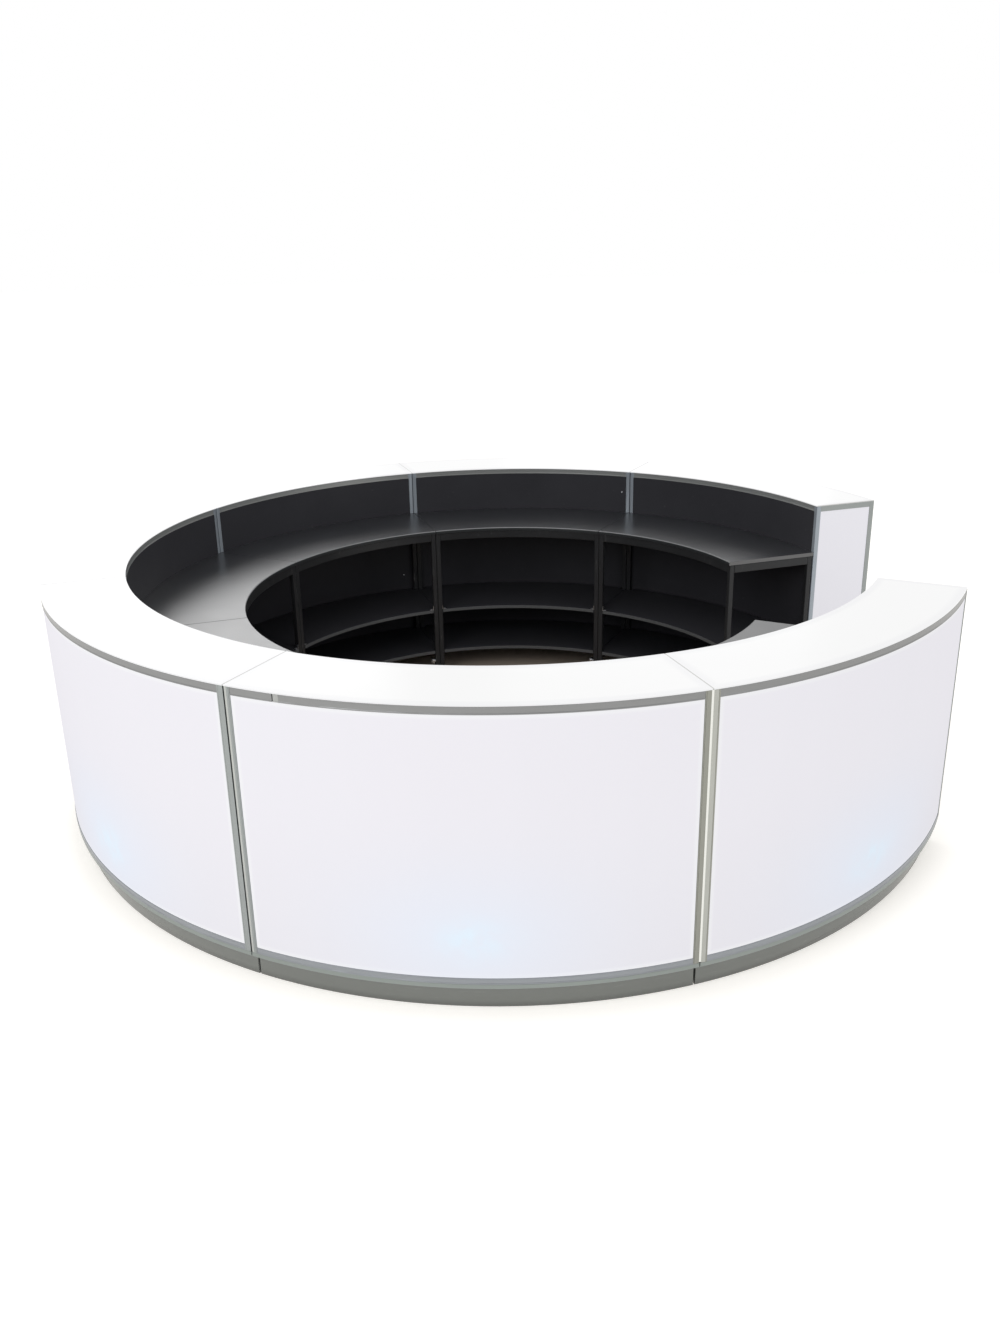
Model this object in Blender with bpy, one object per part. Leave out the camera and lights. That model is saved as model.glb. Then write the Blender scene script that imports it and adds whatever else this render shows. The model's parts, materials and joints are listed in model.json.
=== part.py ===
"""Ring-shaped illuminated bar counter.

Seven like modules, each an eighth of a circle, stand side by side, and the eighth place is left open
as the staff's way in. Outside, each module is a light box: opal top, opal front, aluminium profile frame
and a recessed plinth whose tray carries the LED batten. Inside, it is a black work unit: cabinet boards,
worktop and tube frame. Hand screws at the feet of the front posts draw neighbouring modules together.

Units are metres and +Z is up. The origin is the centre of the ring, on the floor.
"""

import math

import bmesh
import bpy
from mathutils import Matrix, Vector

# The ring and its modules
COUNTER_HEIGHT = 1.10
OUTER_RADIUS = 1.995
TOP_DEPTH = 0.335
WORKTOP_HEIGHT = 0.86
WORKTOP_DEPTH = 0.48
MODULES_IN_CIRCLE = 8
MODULE_COUNT = 7
ARC_STEPS = 10
JOINT_GAP = 0.003
CLEARANCE = 0.0003

# The light box
OPAL_SHEET = 0.005
PROFILE = 0.024
TOP_BAND = 0.027
BOTTOM_BAND = 0.040
FRONT_RECESS = 0.002
PLINTH_HEIGHT = 0.095
PLINTH_RECESS = 0.035
PLINTH_SETBACK = 0.030
PLINTH_SHEET = 0.003
PLINTH_END_SETBACK = 0.0025
BATTEN_SETBACK = 0.110
BATTEN_WIDTH = 0.045
BATTEN_LENGTH = 0.36
BATTEN_HEIGHT = 0.022

# The work unit behind it
BOARD = 0.018
BACK_BOARD = 0.018
SHELF_HEIGHT = 0.40
WORKTOP_BOARD = 0.020
WORKTOP_OVERHANG = 0.005
TUBE = 0.025
APRON = 0.040
FRAME_SETBACK = 0.006
NOTCH_CLEARANCE = 0.002

# The hand screws that join neighbouring modules
SCREW_HEIGHT = 0.090
SHANK_RADIUS = 0.004
SHANK_SETBACK = 0.004
TIP_CHAMFER = 0.0015
BOSS_RADIUS = 0.009
BOSS_LENGTH = 0.008
KNOB_RADIUS = 0.0175
KNOB_LENGTH = 0.014
KNOB_LOBES = 5
KNOB_LOBE_DEPTH = 0.003
KNOB_CHAMFER = 0.002
SCREW_SIDES = 20

# What feeds the lamps, on the back board of the first module
SUPPLY_WIDTH = 0.110
SUPPLY_DEPTH = 0.050
SUPPLY_HEIGHT = 0.160
SUPPLY_CENTRE_HEIGHT = 0.62
INLET_WIDTH = 0.034
INLET_DEPTH = 0.028
INLET_HEIGHT = 0.022
INLET_WALL = 0.003
ROCKER_WIDTH = 0.014
ROCKER_LENGTH = 0.022
ROCKER_PROUD = 0.004
ROCKER_BACK = 0.006
ROCKER_TILT = math.radians(7)
ROCKER_ROOM = 0.002
SWITCH_ABOVE_MIDDLE = 0.040

# Sizes that follow
INNER_RADIUS = OUTER_RADIUS - TOP_DEPTH
STAFF_RADIUS = INNER_RADIUS - WORKTOP_DEPTH
MODULE_ANGLE = 2 * math.pi / MODULES_IN_CIRCLE
END_ANGLE = MODULE_ANGLE / 2 - JOINT_GAP / 2 / OUTER_RADIUS
STEP_ANGLE = 2 * END_ANGLE / ARC_STEPS
POST_ANGLE = PROFILE / OUTER_RADIUS

TRIM_BOTTOM = PLINTH_HEIGHT + CLEARANCE
TRIM_TOP = COUNTER_HEIGHT - OPAL_SHEET - CLEARANCE
OPENING_BOTTOM = TRIM_BOTTOM + BOTTOM_BAND + CLEARANCE
OPENING_TOP = TRIM_TOP - TOP_BAND - CLEARANCE

BACK_FACE = INNER_RADIUS - CLEARANCE
BACK_ANGLE = END_ANGLE - POST_ANGLE - CLEARANCE / INNER_RADIUS
BASE_BOARD_TOP = OPENING_BOTTOM + BOARD
FRAME_FRONT = STAFF_RADIUS + WORKTOP_OVERHANG
FRAME_REAR = INNER_RADIUS - FRAME_SETBACK
NOTCH_FRONT = FRAME_FRONT + TUBE + NOTCH_CLEARANCE
NOTCH_REAR = FRAME_REAR - TUBE - NOTCH_CLEARANCE
NOTCH_ANGLE = END_ANGLE - (TUBE + NOTCH_CLEARANCE) / FRAME_FRONT
FRAME_TOP = WORKTOP_HEIGHT - WORKTOP_BOARD - CLEARANCE

POST_CENTRE = FRAME_FRONT + TUBE / 2
POST_FACE = JOINT_GAP / 2 * POST_CENTRE / OUTER_RADIUS + TUBE


def clear_scene():
    for thing in list(bpy.data.objects):
        bpy.data.objects.remove(thing, do_unlink=True)


def material(name, colour, roughness, metallic=0.0):
    made = bpy.data.materials.new(name)
    made.use_nodes = True
    shader = made.node_tree.nodes["Principled BSDF"]
    shader.inputs["Base Color"].default_value = (*colour, 1.0)
    shader.inputs["Roughness"].default_value = roughness
    shader.inputs["Metallic"].default_value = metallic
    return made


def ring_point(radius, angle, height):
    """A point of the ring, in a module's own frame, whose middle lies along +X.

    Every curved piece follows the same flats, ARC_STEPS to a module, so that pieces lie flat on each other.
    """
    flat = min(max(int((angle + END_ANGLE) / STEP_ANGLE), 0), ARC_STEPS - 1)
    middle = -END_ANGLE + (flat + 0.5) * STEP_ANGLE
    reach = radius * math.cos(STEP_ANGLE / 2) / math.cos(angle - middle)
    return Vector((reach * math.cos(angle), reach * math.sin(angle), height))


def end_plane_point(along, inward, height):
    """A point measured along the module's end plane and inward from it, square to it."""
    out = Vector((math.cos(END_ANGLE), math.sin(END_ANGLE), 0))
    into = Vector((math.sin(END_ANGLE), -math.cos(END_ANGLE), 0))
    return out * along + into * inward + Vector((0, 0, height))


def plain_point(x, y, z):
    return Vector((x, y, z))


def arc_angles(limit, *breaks):
    """The ring's own stations between -limit and limit, with the breaks on both sides among them."""
    angles = {-limit, limit}
    for station in range(1, ARC_STEPS):
        angle = -END_ANGLE + station * STEP_ANGLE
        if abs(angle) < limit:
            angles.add(angle)
    for angle in breaks:
        angles.update((-angle, angle))
    return sorted(angles)


def cell_mesh(name, first, second, third, filled, place=ring_point):
    """The outer faces of the filled cells of a lattice, whose three lists of breaks are rising values.

    filled takes the middle of a cell along each list, and place turns lattice values into a point.
    """
    lists = (first, second, third)
    sizes = [len(breaks) - 1 for breaks in lists]

    def is_filled(cell):
        if any(index < 0 or index >= size for index, size in zip(cell, sizes)):
            return False
        middles = [(breaks[index] + breaks[index + 1]) / 2 for breaks, index in zip(lists, cell)]
        return filled(*middles)

    shape = bmesh.new()
    corners = {}

    def corner(indices):
        if indices not in corners:
            values = [breaks[index] for breaks, index in zip(lists, indices)]
            corners[indices] = shape.verts.new(place(*values))
        return corners[indices]

    for i in range(sizes[0]):
        for j in range(sizes[1]):
            for k in range(sizes[2]):
                cell = (i, j, k)
                if not is_filled(cell):
                    continue
                for axis in range(3):
                    for side in (0, 1):
                        beside = list(cell)
                        beside[axis] += 2 * side - 1
                        if is_filled(tuple(beside)):
                            continue
                        across, along = (axis + 1) % 3, (axis + 2) % 3
                        loop = []
                        for step_across, step_along in ((0, 0), (1, 0), (1, 1), (0, 1)):
                            indices = list(cell)
                            indices[axis] += side
                            indices[across] += step_across
                            indices[along] += step_along
                            loop.append(corner(tuple(indices)))
                        if side == 0:
                            loop.reverse()
                        shape.faces.new(loop)
    return finished_mesh(name, shape)


def finished_mesh(name, shape):
    bmesh.ops.dissolve_limit(shape, angle_limit=math.radians(0.05), verts=shape.verts, edges=shape.edges)
    bmesh.ops.triangulate(shape, faces=[face for face in shape.faces if len(face.verts) > 4])
    bmesh.ops.recalc_face_normals(shape, faces=shape.faces)
    mesh = bpy.data.meshes.new(name)
    shape.to_mesh(mesh)
    shape.free()
    mesh.shade_smooth()
    mesh.set_sharp_from_angle(angle=math.radians(20))
    return mesh


def ringed_mesh(name, stations, sides):
    """A closed body along +X through rings of points. A station is a place on X, a radius and a lobe depth."""
    shape = bmesh.new()
    rings = []
    for place, radius, lobe_depth in stations:
        ring = []
        for side in range(sides):
            turn = 2 * math.pi * side / sides
            reach = radius - lobe_depth * (1 - math.cos(KNOB_LOBES * turn)) / 2
            ring.append(shape.verts.new((place, reach * math.cos(turn), reach * math.sin(turn))))
        rings.append(ring)
    for near, far in zip(rings, rings[1:]):
        for side in range(sides):
            after = (side + 1) % sides
            shape.faces.new((near[side], near[after], far[after], far[side]))
    shape.faces.new(rings[0])
    shape.faces.new(rings[-1])
    return finished_mesh(name, shape)


def combined_mesh(name, base, others, operation):
    """The base mesh after a Boolean with each of the others, applied."""
    target = bpy.data.objects.new(name, base)
    bpy.context.scene.collection.objects.link(target)
    helpers = []
    for index, other in enumerate(others):
        helper = bpy.data.objects.new(f"{name}_tool_{index}", other)
        bpy.context.scene.collection.objects.link(helper)
        helper.hide_render = True
        helper.display_type = "WIRE"
        helpers.append(helper)
        step = target.modifiers.new(f"step_{index}", "BOOLEAN")
        step.operation = operation
        step.solver = "EXACT"
        step.object = helper
    graph = bpy.context.evaluated_depsgraph_get()
    made = bpy.data.meshes.new_from_object(target.evaluated_get(graph))
    made.name = name
    for thing in (target, *helpers):
        bpy.data.objects.remove(thing, do_unlink=True)
    return made


def top_panel_mesh():
    return cell_mesh("top_panel", [INNER_RADIUS, OUTER_RADIUS], arc_angles(END_ANGLE),
                     [COUNTER_HEIGHT - OPAL_SHEET, COUNTER_HEIGHT], lambda r, a, z: True)


def front_panel_mesh():
    """The curved sheet, which fills the frame's front opening."""
    face = OUTER_RADIUS - FRONT_RECESS
    limit = END_ANGLE - POST_ANGLE - CLEARANCE / OUTER_RADIUS
    return cell_mesh("front_panel", [face - OPAL_SHEET, face], arc_angles(limit),
                     [OPENING_BOTTOM, OPENING_TOP], lambda r, a, z: True)


def trim_frame_mesh():
    """A curved box drawn in its twelve edges: bands along the arcs, posts at the corners, rails across."""
    radii = [INNER_RADIUS, INNER_RADIUS + PROFILE, OUTER_RADIUS - PROFILE, OUTER_RADIUS]
    heights = [TRIM_BOTTOM, TRIM_BOTTOM + BOTTOM_BAND, TRIM_TOP - TOP_BAND, TRIM_TOP]

    def filled(radius, angle, height):
        at_side = radius < radii[1] or radius > radii[2]
        at_end = abs(angle) > END_ANGLE - POST_ANGLE
        at_level = height < heights[1] or height > heights[2]
        return at_side + at_end + at_level >= 2

    return cell_mesh("trim_frame", radii, arc_angles(END_ANGLE, END_ANGLE - POST_ANGLE), heights, filled)


def plinth_mesh():
    """A tray of folded sheet with a skirt all round, open below, and the LED batten on its plate."""
    outer = OUTER_RADIUS - PLINTH_RECESS
    inner = INNER_RADIUS + PLINTH_SETBACK
    batten_out = outer - BATTEN_SETBACK
    batten_in = batten_out - BATTEN_WIDTH
    batten_angle = BATTEN_LENGTH / 2 / batten_out
    end_angle = END_ANGLE - PLINTH_END_SETBACK / outer
    skirt_angle = end_angle - PLINTH_SHEET / outer
    plate_bottom = PLINTH_HEIGHT - PLINTH_SHEET

    def filled(radius, angle, height):
        if height > PLINTH_HEIGHT:
            return batten_in < radius < batten_out and abs(angle) < batten_angle
        in_plate = height > plate_bottom
        in_skirt = radius < inner + PLINTH_SHEET or radius > outer - PLINTH_SHEET or abs(angle) > skirt_angle
        return in_plate or in_skirt

    radii = [inner, inner + PLINTH_SHEET, batten_in, batten_out, outer - PLINTH_SHEET, outer]
    heights = [0.0, plate_bottom, PLINTH_HEIGHT, PLINTH_HEIGHT + BATTEN_HEIGHT]
    return cell_mesh("plinth", radii, arc_angles(end_angle, skirt_angle, batten_angle), heights, filled)


def carcass_mesh():
    """Back board in the frame's inner opening, with the mid shelf and the base board notched round the posts."""
    radii = [FRAME_FRONT, NOTCH_FRONT, NOTCH_REAR, BACK_FACE, BACK_FACE + BACK_BOARD]
    heights = [OPENING_BOTTOM, BASE_BOARD_TOP, SHELF_HEIGHT - BOARD, SHELF_HEIGHT, OPENING_TOP]

    def filled(radius, angle, height):
        if radius > BACK_FACE:
            return abs(angle) < BACK_ANGLE
        at_board = height < heights[1] or heights[2] < height < heights[3]
        beside_posts = abs(angle) < NOTCH_ANGLE or NOTCH_FRONT < radius < NOTCH_REAR
        return at_board and beside_posts

    return cell_mesh("carcass", radii, arc_angles(END_ANGLE, BACK_ANGLE, NOTCH_ANGLE), heights, filled)


def worktop_mesh():
    return cell_mesh("worktop", [STAFF_RADIUS, BACK_FACE - CLEARANCE], arc_angles(END_ANGLE),
                     [WORKTOP_HEIGHT - WORKTOP_BOARD, WORKTOP_HEIGHT], lambda r, a, z: True)


def end_ladder_mesh(name):
    """The flat frame at one end of a module: two posts to the floor, with rails under each board."""
    base_rail = OPENING_BOTTOM - CLEARANCE
    shelf_rail = SHELF_HEIGHT - BOARD - CLEARANCE
    heights = [0.0, base_rail - TUBE, base_rail, shelf_rail - TUBE, shelf_rail, FRAME_TOP - APRON, FRAME_TOP]
    along = [FRAME_FRONT, FRAME_FRONT + TUBE, FRAME_REAR - TUBE, FRAME_REAR]

    def filled(place, inward, height):
        in_post = place < along[1] or place > along[2]
        in_rail = heights[1] < height < heights[2] or heights[3] < height < heights[4] or height > heights[5]
        return in_post or in_rail

    return cell_mesh(name, along, [0.0, TUBE], heights, filled, end_plane_point)


def apron_mesh(name, inner, outer):
    """A curved rail between the two ladders, which its ends run half a tube into."""
    limit = END_ANGLE - TUBE / 2 / inner
    return cell_mesh(name, [inner, outer], arc_angles(limit), [FRAME_TOP - APRON, FRAME_TOP], lambda r, a, z: True)


def mirrored_mesh(mesh):
    """The same mesh on the other side of the module's middle."""
    copy = mesh.copy()
    copy.transform(Matrix.Diagonal((1, -1, 1, 1)))
    copy.flip_normals()
    return copy


def screw_hole_mesh():
    """A cutter through the foot of the front post, square to the end plane."""
    radius = SHANK_RADIUS + CLEARANCE
    hole = ringed_mesh("screw_hole", [(-TUBE, radius, 0), (2 * TUBE, radius, 0)], SCREW_SIDES)
    turn = Matrix.Rotation(END_ANGLE - math.pi / 2, 4, "Z")
    hole.transform(Matrix.Translation(end_plane_point(POST_CENTRE, 0, SCREW_HEIGHT)) @ turn)
    return hole


def shelf_frame_mesh():
    ladder = end_ladder_mesh("ladder")
    front_rail = apron_mesh("front_rail", FRAME_FRONT, FRAME_FRONT + TUBE)
    rear_rail = apron_mesh("rear_rail", FRAME_REAR - TUBE, FRAME_REAR)
    frame = combined_mesh("shelf_frame", ladder, [mirrored_mesh(ladder), front_rail, rear_rail], "UNION")
    hole = screw_hole_mesh()
    return combined_mesh("shelf_frame", frame, [hole, mirrored_mesh(hole)], "DIFFERENCE")


def end_panel_mesh(name, side):
    """The opal sheet in the frame's end opening. side is 1 or -1, for the module's end that it closes."""
    far = END_ANGLE - FRONT_RECESS / OUTER_RADIUS
    near = far - OPAL_SHEET / OUTER_RADIUS
    radii = [INNER_RADIUS + PROFILE + CLEARANCE, OUTER_RADIUS - PROFILE - CLEARANCE]
    angles = sorted((side * near, side * far))
    return cell_mesh(name, radii, angles, [OPENING_BOTTOM, OPENING_TOP], lambda r, a, z: True)


def joining_screw_mesh():
    """A hand screw along +X with its lobed knob. X is 0 in the plane where two modules meet."""
    seat = POST_FACE + CLEARANCE
    knob = seat + BOSS_LENGTH
    end = knob + KNOB_LENGTH
    slim = KNOB_RADIUS - KNOB_CHAMFER
    tip = SHANK_SETBACK - POST_FACE
    stations = [
        (tip, SHANK_RADIUS - TIP_CHAMFER, 0),
        (tip + TIP_CHAMFER, SHANK_RADIUS, 0),
        (seat, SHANK_RADIUS, 0),
        (seat, BOSS_RADIUS, 0),
        (knob, BOSS_RADIUS, 0),
        (knob, slim, KNOB_LOBE_DEPTH),
        (knob + KNOB_CHAMFER, KNOB_RADIUS, KNOB_LOBE_DEPTH),
        (end - KNOB_CHAMFER, KNOB_RADIUS, KNOB_LOBE_DEPTH),
        (end, slim, KNOB_LOBE_DEPTH),
    ]
    return ringed_mesh("joining_screw", stations, SCREW_SIDES)


def power_supply_mesh():
    """The housing, with X out of the back board, Y across and Z up from its middle, and the switch's pocket."""
    pocket_half = ROCKER_LENGTH / 2 + ROCKER_ROOM
    pocket_floor = SUPPLY_DEPTH - ROCKER_BACK - ROCKER_ROOM
    side = ROCKER_WIDTH / 2 + CLEARANCE
    depths = [0.0, pocket_floor, SUPPLY_DEPTH]
    across = [-SUPPLY_WIDTH / 2, -side, side, SUPPLY_WIDTH / 2]
    pocket_low = SWITCH_ABOVE_MIDDLE - pocket_half
    pocket_high = SWITCH_ABOVE_MIDDLE + pocket_half
    heights = [-SUPPLY_HEIGHT / 2, pocket_low, pocket_high, SUPPLY_HEIGHT / 2]

    def filled(depth, place, height):
        return not (depth > pocket_floor and abs(place) < side and pocket_low < height < pocket_high)

    return cell_mesh("power_supply", depths, across, heights, filled, plain_point)


def mains_inlet_mesh():
    """A socket shell that opens downwards, with its top face at Z = 0."""
    depths = [-INLET_DEPTH / 2, -INLET_DEPTH / 2 + INLET_WALL, INLET_DEPTH / 2 - INLET_WALL, INLET_DEPTH / 2]
    across = [-INLET_WIDTH / 2, -INLET_WIDTH / 2 + INLET_WALL, INLET_WIDTH / 2 - INLET_WALL, INLET_WIDTH / 2]
    heights = [-INLET_HEIGHT, -INLET_WALL, 0.0]

    def filled(depth, place, height):
        in_wall = not (depths[1] < depth < depths[2] and across[1] < place < across[2])
        return in_wall or height > heights[1]

    return cell_mesh("mains_inlet", depths, across, heights, filled, plain_point)


def rocker_mesh():
    """A rocker that tips about Y through its origin, tilted to its first position, with X out of the housing."""
    half = ROCKER_LENGTH / 2
    outline = [(ROCKER_PROUD, half), (ROCKER_PROUD / 2, 0), (ROCKER_PROUD, -half), (-ROCKER_BACK / 3, -half),
               (-ROCKER_BACK, -half / 3), (-ROCKER_BACK, half / 3), (-ROCKER_BACK / 3, half)]
    tilt = Matrix.Rotation(-ROCKER_TILT, 4, "Y")
    shape = bmesh.new()
    points = []
    for out, up in outline:
        points.append(shape.verts.new(tilt @ Vector((out, -ROCKER_WIDTH / 2, up))))
    face = shape.faces.new(points)
    grown = bmesh.ops.extrude_face_region(shape, geom=[face])
    moved = [item for item in grown["geom"] if isinstance(item, bmesh.types.BMVert)]
    bmesh.ops.translate(shape, vec=Vector((0, ROCKER_WIDTH, 0)), verts=moved)
    return finished_mesh("power_switch", shape)


def add_piece(name, mesh, finish, parent=None, matrix=None):
    if not mesh.materials:
        mesh.materials.append(finish)
    piece = bpy.data.objects.new(name, mesh)
    bpy.context.scene.collection.objects.link(piece)
    piece.parent = parent
    if matrix is not None:
        piece.matrix_local = matrix
    return piece


def add_holder(name, turn):
    """An empty at the ring's centre that turns a module to its place."""
    holder = bpy.data.objects.new(name, None)
    bpy.context.scene.collection.objects.link(holder)
    holder.rotation_euler.z = turn
    return holder


def build():
    clear_scene()
    opal = material("opal_acrylic", (0.93, 0.93, 0.95), 0.15)
    opal_end = material("opal_end_acrylic", (0.94, 0.94, 0.95), 0.2)
    aluminium = material("aluminium_profile", (0.36, 0.38, 0.38), 0.38, 0.9)
    plinth_metal = material("plinth_metal", (0.19, 0.21, 0.20), 0.45, 0.8)
    board = material("black_board", (0.014, 0.016, 0.018), 0.4)
    worktop_finish = material("worktop_laminate", (0.018, 0.019, 0.021), 0.25)
    tube = material("black_tube", (0.03, 0.03, 0.032), 0.35, 0.3)
    zinc = material("bright_zinc", (0.75, 0.76, 0.78), 0.25, 1.0)
    housing = material("housing_black", (0.02, 0.02, 0.02), 0.5)
    socket = material("socket_black", (0.015, 0.015, 0.015), 0.4)
    rocker = material("rocker_grey", (0.12, 0.12, 0.12), 0.3)

    module_pieces = (
        ("top_panel", top_panel_mesh(), opal),
        ("front_panel", front_panel_mesh(), opal),
        ("trim_frame", trim_frame_mesh(), aluminium),
        ("plinth", plinth_mesh(), plinth_metal),
        ("carcass", carcass_mesh(), board),
        ("worktop", worktop_mesh(), worktop_finish),
        ("shelf_frame", shelf_frame_mesh(), tube),
    )
    screw = joining_screw_mesh()
    holders = []
    for number in range(1, MODULE_COUNT + 1):
        holder = add_holder(f"module_{number}", -(number - 1) * MODULE_ANGLE)
        holders.append(holder)
        for kind, mesh, finish in module_pieces:
            add_piece(f"{kind}_{number}", mesh, finish, holder)
        if number < MODULE_COUNT:
            joint_turn = Matrix.Rotation(-MODULE_ANGLE / 2, 4, "Z")
            place = Matrix.Translation((POST_CENTRE, 0, SCREW_HEIGHT)) @ Matrix.Rotation(math.pi / 2, 4, "Z")
            add_piece(f"joining_screw_{number}", screw, zinc, holder, joint_turn @ place)

    add_piece("end_panel_first", end_panel_mesh("end_panel_first", 1), opal_end, holders[0])
    add_piece("end_panel_last", end_panel_mesh("end_panel_last", -1), opal_end, holders[-1])

    flat_middle = (ARC_STEPS // 2 + 0.5) * STEP_ANGLE - END_ANGLE
    flat_turn = Matrix.Rotation(flat_middle, 4, "Z")
    flat_reach = BACK_FACE * math.cos(STEP_ANGLE / 2) - CLEARANCE
    to_staff = Matrix.Rotation(math.pi, 4, "Z")
    supply = flat_turn @ Matrix.Translation((flat_reach, 0, SUPPLY_CENTRE_HEIGHT)) @ to_staff
    add_piece("power_supply", power_supply_mesh(), housing, holders[0], supply)
    below = Matrix.Translation((SUPPLY_DEPTH / 2, 0, -SUPPLY_HEIGHT / 2 - CLEARANCE))
    add_piece("mains_inlet", mains_inlet_mesh(), socket, holders[0], supply @ below)
    pivot = Matrix.Translation((SUPPLY_DEPTH, 0, SWITCH_ABOVE_MIDDLE))
    add_piece("power_switch", rocker_mesh(), rocker, holders[0], supply @ pivot)


build()
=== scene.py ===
"""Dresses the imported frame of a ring-shaped, lit bar counter.

Seven like modules stand in a ring, and the eighth place is the staff's way in. Each piece is built once
in a module's own frame, whose middle lies along +X, and is then turned to its place. Units are metres, and
+Z is up.
"""

import json
import math

import bmesh
import bpy
from mathutils import Matrix, Vector


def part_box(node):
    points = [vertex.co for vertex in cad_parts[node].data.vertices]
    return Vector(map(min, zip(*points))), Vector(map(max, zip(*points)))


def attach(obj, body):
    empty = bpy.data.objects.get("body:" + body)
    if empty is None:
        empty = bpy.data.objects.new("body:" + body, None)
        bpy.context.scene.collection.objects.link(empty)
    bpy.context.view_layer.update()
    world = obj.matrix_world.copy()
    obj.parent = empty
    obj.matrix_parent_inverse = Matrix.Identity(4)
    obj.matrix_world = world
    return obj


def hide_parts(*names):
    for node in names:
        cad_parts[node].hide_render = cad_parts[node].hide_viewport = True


bl_info = {
    "name": "Lit bar counter",
    "version": (1, 0, 0),
    "blender": (4, 5, 0),
    "location": "View3D > Sidebar > Bar counter",
    "description": "Builds the sheets, profiles, boards and fittings of a ring-shaped bar counter",
    "category": "Add Mesh",
}

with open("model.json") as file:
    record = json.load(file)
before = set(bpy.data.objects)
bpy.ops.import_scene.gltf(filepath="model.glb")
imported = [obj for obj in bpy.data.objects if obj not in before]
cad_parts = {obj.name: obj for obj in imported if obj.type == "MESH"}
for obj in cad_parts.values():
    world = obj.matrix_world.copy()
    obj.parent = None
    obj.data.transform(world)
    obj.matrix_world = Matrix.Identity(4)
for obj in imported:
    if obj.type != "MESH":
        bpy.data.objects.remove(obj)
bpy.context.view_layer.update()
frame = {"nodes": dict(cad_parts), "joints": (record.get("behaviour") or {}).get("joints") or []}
BODY = "counter"

# Sizes read from the frame's first module, whose middle lies along +X
TOP_LOW, TOP_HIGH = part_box("top_panel_1")
FRONT_LOW, FRONT_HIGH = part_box("front_panel_1")
TRIM_LOW, TRIM_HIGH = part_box("trim_frame_1")
PLINTH_LOW, PLINTH_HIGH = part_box("plinth_1")
CABINET_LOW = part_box("carcass_1")[0]
WORKTOP_LOW, WORKTOP_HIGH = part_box("worktop_1")
TUBE_LOW, TUBE_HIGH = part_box("shelf_frame_1")
OUTER = TOP_HIGH.x
END_ANGLE = math.asin(TOP_HIGH.y / TOP_HIGH.x)
INNER = TOP_LOW.x / math.cos(END_ANGLE)
FRONT_ANGLE = math.asin(FRONT_HIGH.y / FRONT_HIGH.x)
PLINTH_OUTER = PLINTH_HIGH.x
PLINTH_ANGLE = math.asin(PLINTH_HIGH.y / PLINTH_HIGH.x)
PLINTH_INNER = PLINTH_LOW.x / math.cos(PLINTH_ANGLE)
WORKTOP_STAFF = WORKTOP_LOW.x / math.cos(END_ANGLE)
TUBE_STAFF = TUBE_LOW.x / math.cos(END_ANGLE)
MODULES = sum(name.startswith("top_panel_") for name in frame["nodes"])
MODULE_ANGLE = math.radians(45)

# Sizes that the frame's boxes don't tell
PROFILE = 0.024
TOP_BAND = 0.027
BOTTOM_BAND = 0.040
PLINTH_HEIGHT = 0.095
PLINTH_SHEET = 0.003
BACK_BOARD = 0.018
BOARD = 0.018
SHELF_HEIGHT = 0.40
TUBE = 0.025
APRON = 0.040
TUBE_REAR_SETBACK = 0.006
NOTCH = TUBE + 0.002
CLEARANCE = 0.0003
PANEL_INSET = 0.002
OPAL_SHEET = 0.005
SCREW_HEIGHT = 0.090

# The opal sheets: how much of their colour is their own light, and how much is paint that the room lights
OPAL_OWN_LIGHT = 0.62
TOP_OWN_LIGHT = 0.86

# The lamp's glow low in each front panel: how far it wanders along the arc, its height and its spread
GLOW_SHIFT = 0.05
GLOW_HEIGHT = 0.28
HALO_WIDE = 0.40
HALO_HIGH = 0.25
CORE_WIDE = 0.11
CORE_HIGH = 0.07

# The lamp battens on the plinths' trays
LAMP_SETBACK = 0.110
LAMP_WIDTH = 0.045
LAMP_LENGTH = 0.36
LAMP_DOME = 0.008
LAMPS_PER_METRE = 40
PLINTH_FOLD = 0.0035

# The outer bands: the bottom one's lower flange, and the cut in one top band with a paler patch beside it
FLANGE_SHARE = 0.42
FLANGE_SETBACK = 0.0012
FLANGE_GROOVE = 0.0022
SPLICED_MODULE = 2
SPLICE_ANGLE = math.radians(-17.2)
SPLICE_HALF_GAP = 0.0016
SPLICE_PATCH = math.radians(0.60)

# The outer posts: where their face is proudest, how deep the bevel at the joint runs, how far a broad face
# with a painted highlight reaches, and the glowing strip, painted light leaking through the joint of modules
# 1 and 2
POST_CREST = PROFILE * 0.46
BEVEL_DEPTH = 0.010
BROAD_BRIGHT = PROFILE * 0.8
LEAK_GAP = 0.0024
LEAK_SPREAD = 0.0028
LEAK_ROOT = 0.016
LEAKING_MODULE = 1

# The worktop's arris, which carries a painted highlight, the frames' feet and the clips of the mid shelf
ARRIS = 0.0040
ARRIS_FALL = 0.0017
FOOT_HEIGHT = 0.004
FOOT_GROWTH = 0.0006
CLIP_LEG = 0.022
CLIP_WIDTH = 0.0176
CLIP_SHEET = 0.002

# The hand screws, measured along the screw from the joint's plane, and the plates across the rear feet
POST_FACE = TUBE + 0.0011
SHANK_RADIUS = 0.0040
SHANK_SETBACK = 0.004
THREAD_PITCH = 0.00125
THREAD_ROOT = 0.0034
BOSS_LENGTH = 0.008
KNOB_LENGTH = 0.014
KNOB_LOBES = 5
LINK_HALF = 0.022
LINK_WIDTH = 0.020
LINK_SHEET = 0.003
LINK_LIFT = 0.035

# The bare screws of the back boards: the module, and each screw's height and distance from the module's end
BARE_SCREWS = {5: (0.487, 0.078), 6: (0.977, 0.046)}

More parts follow.
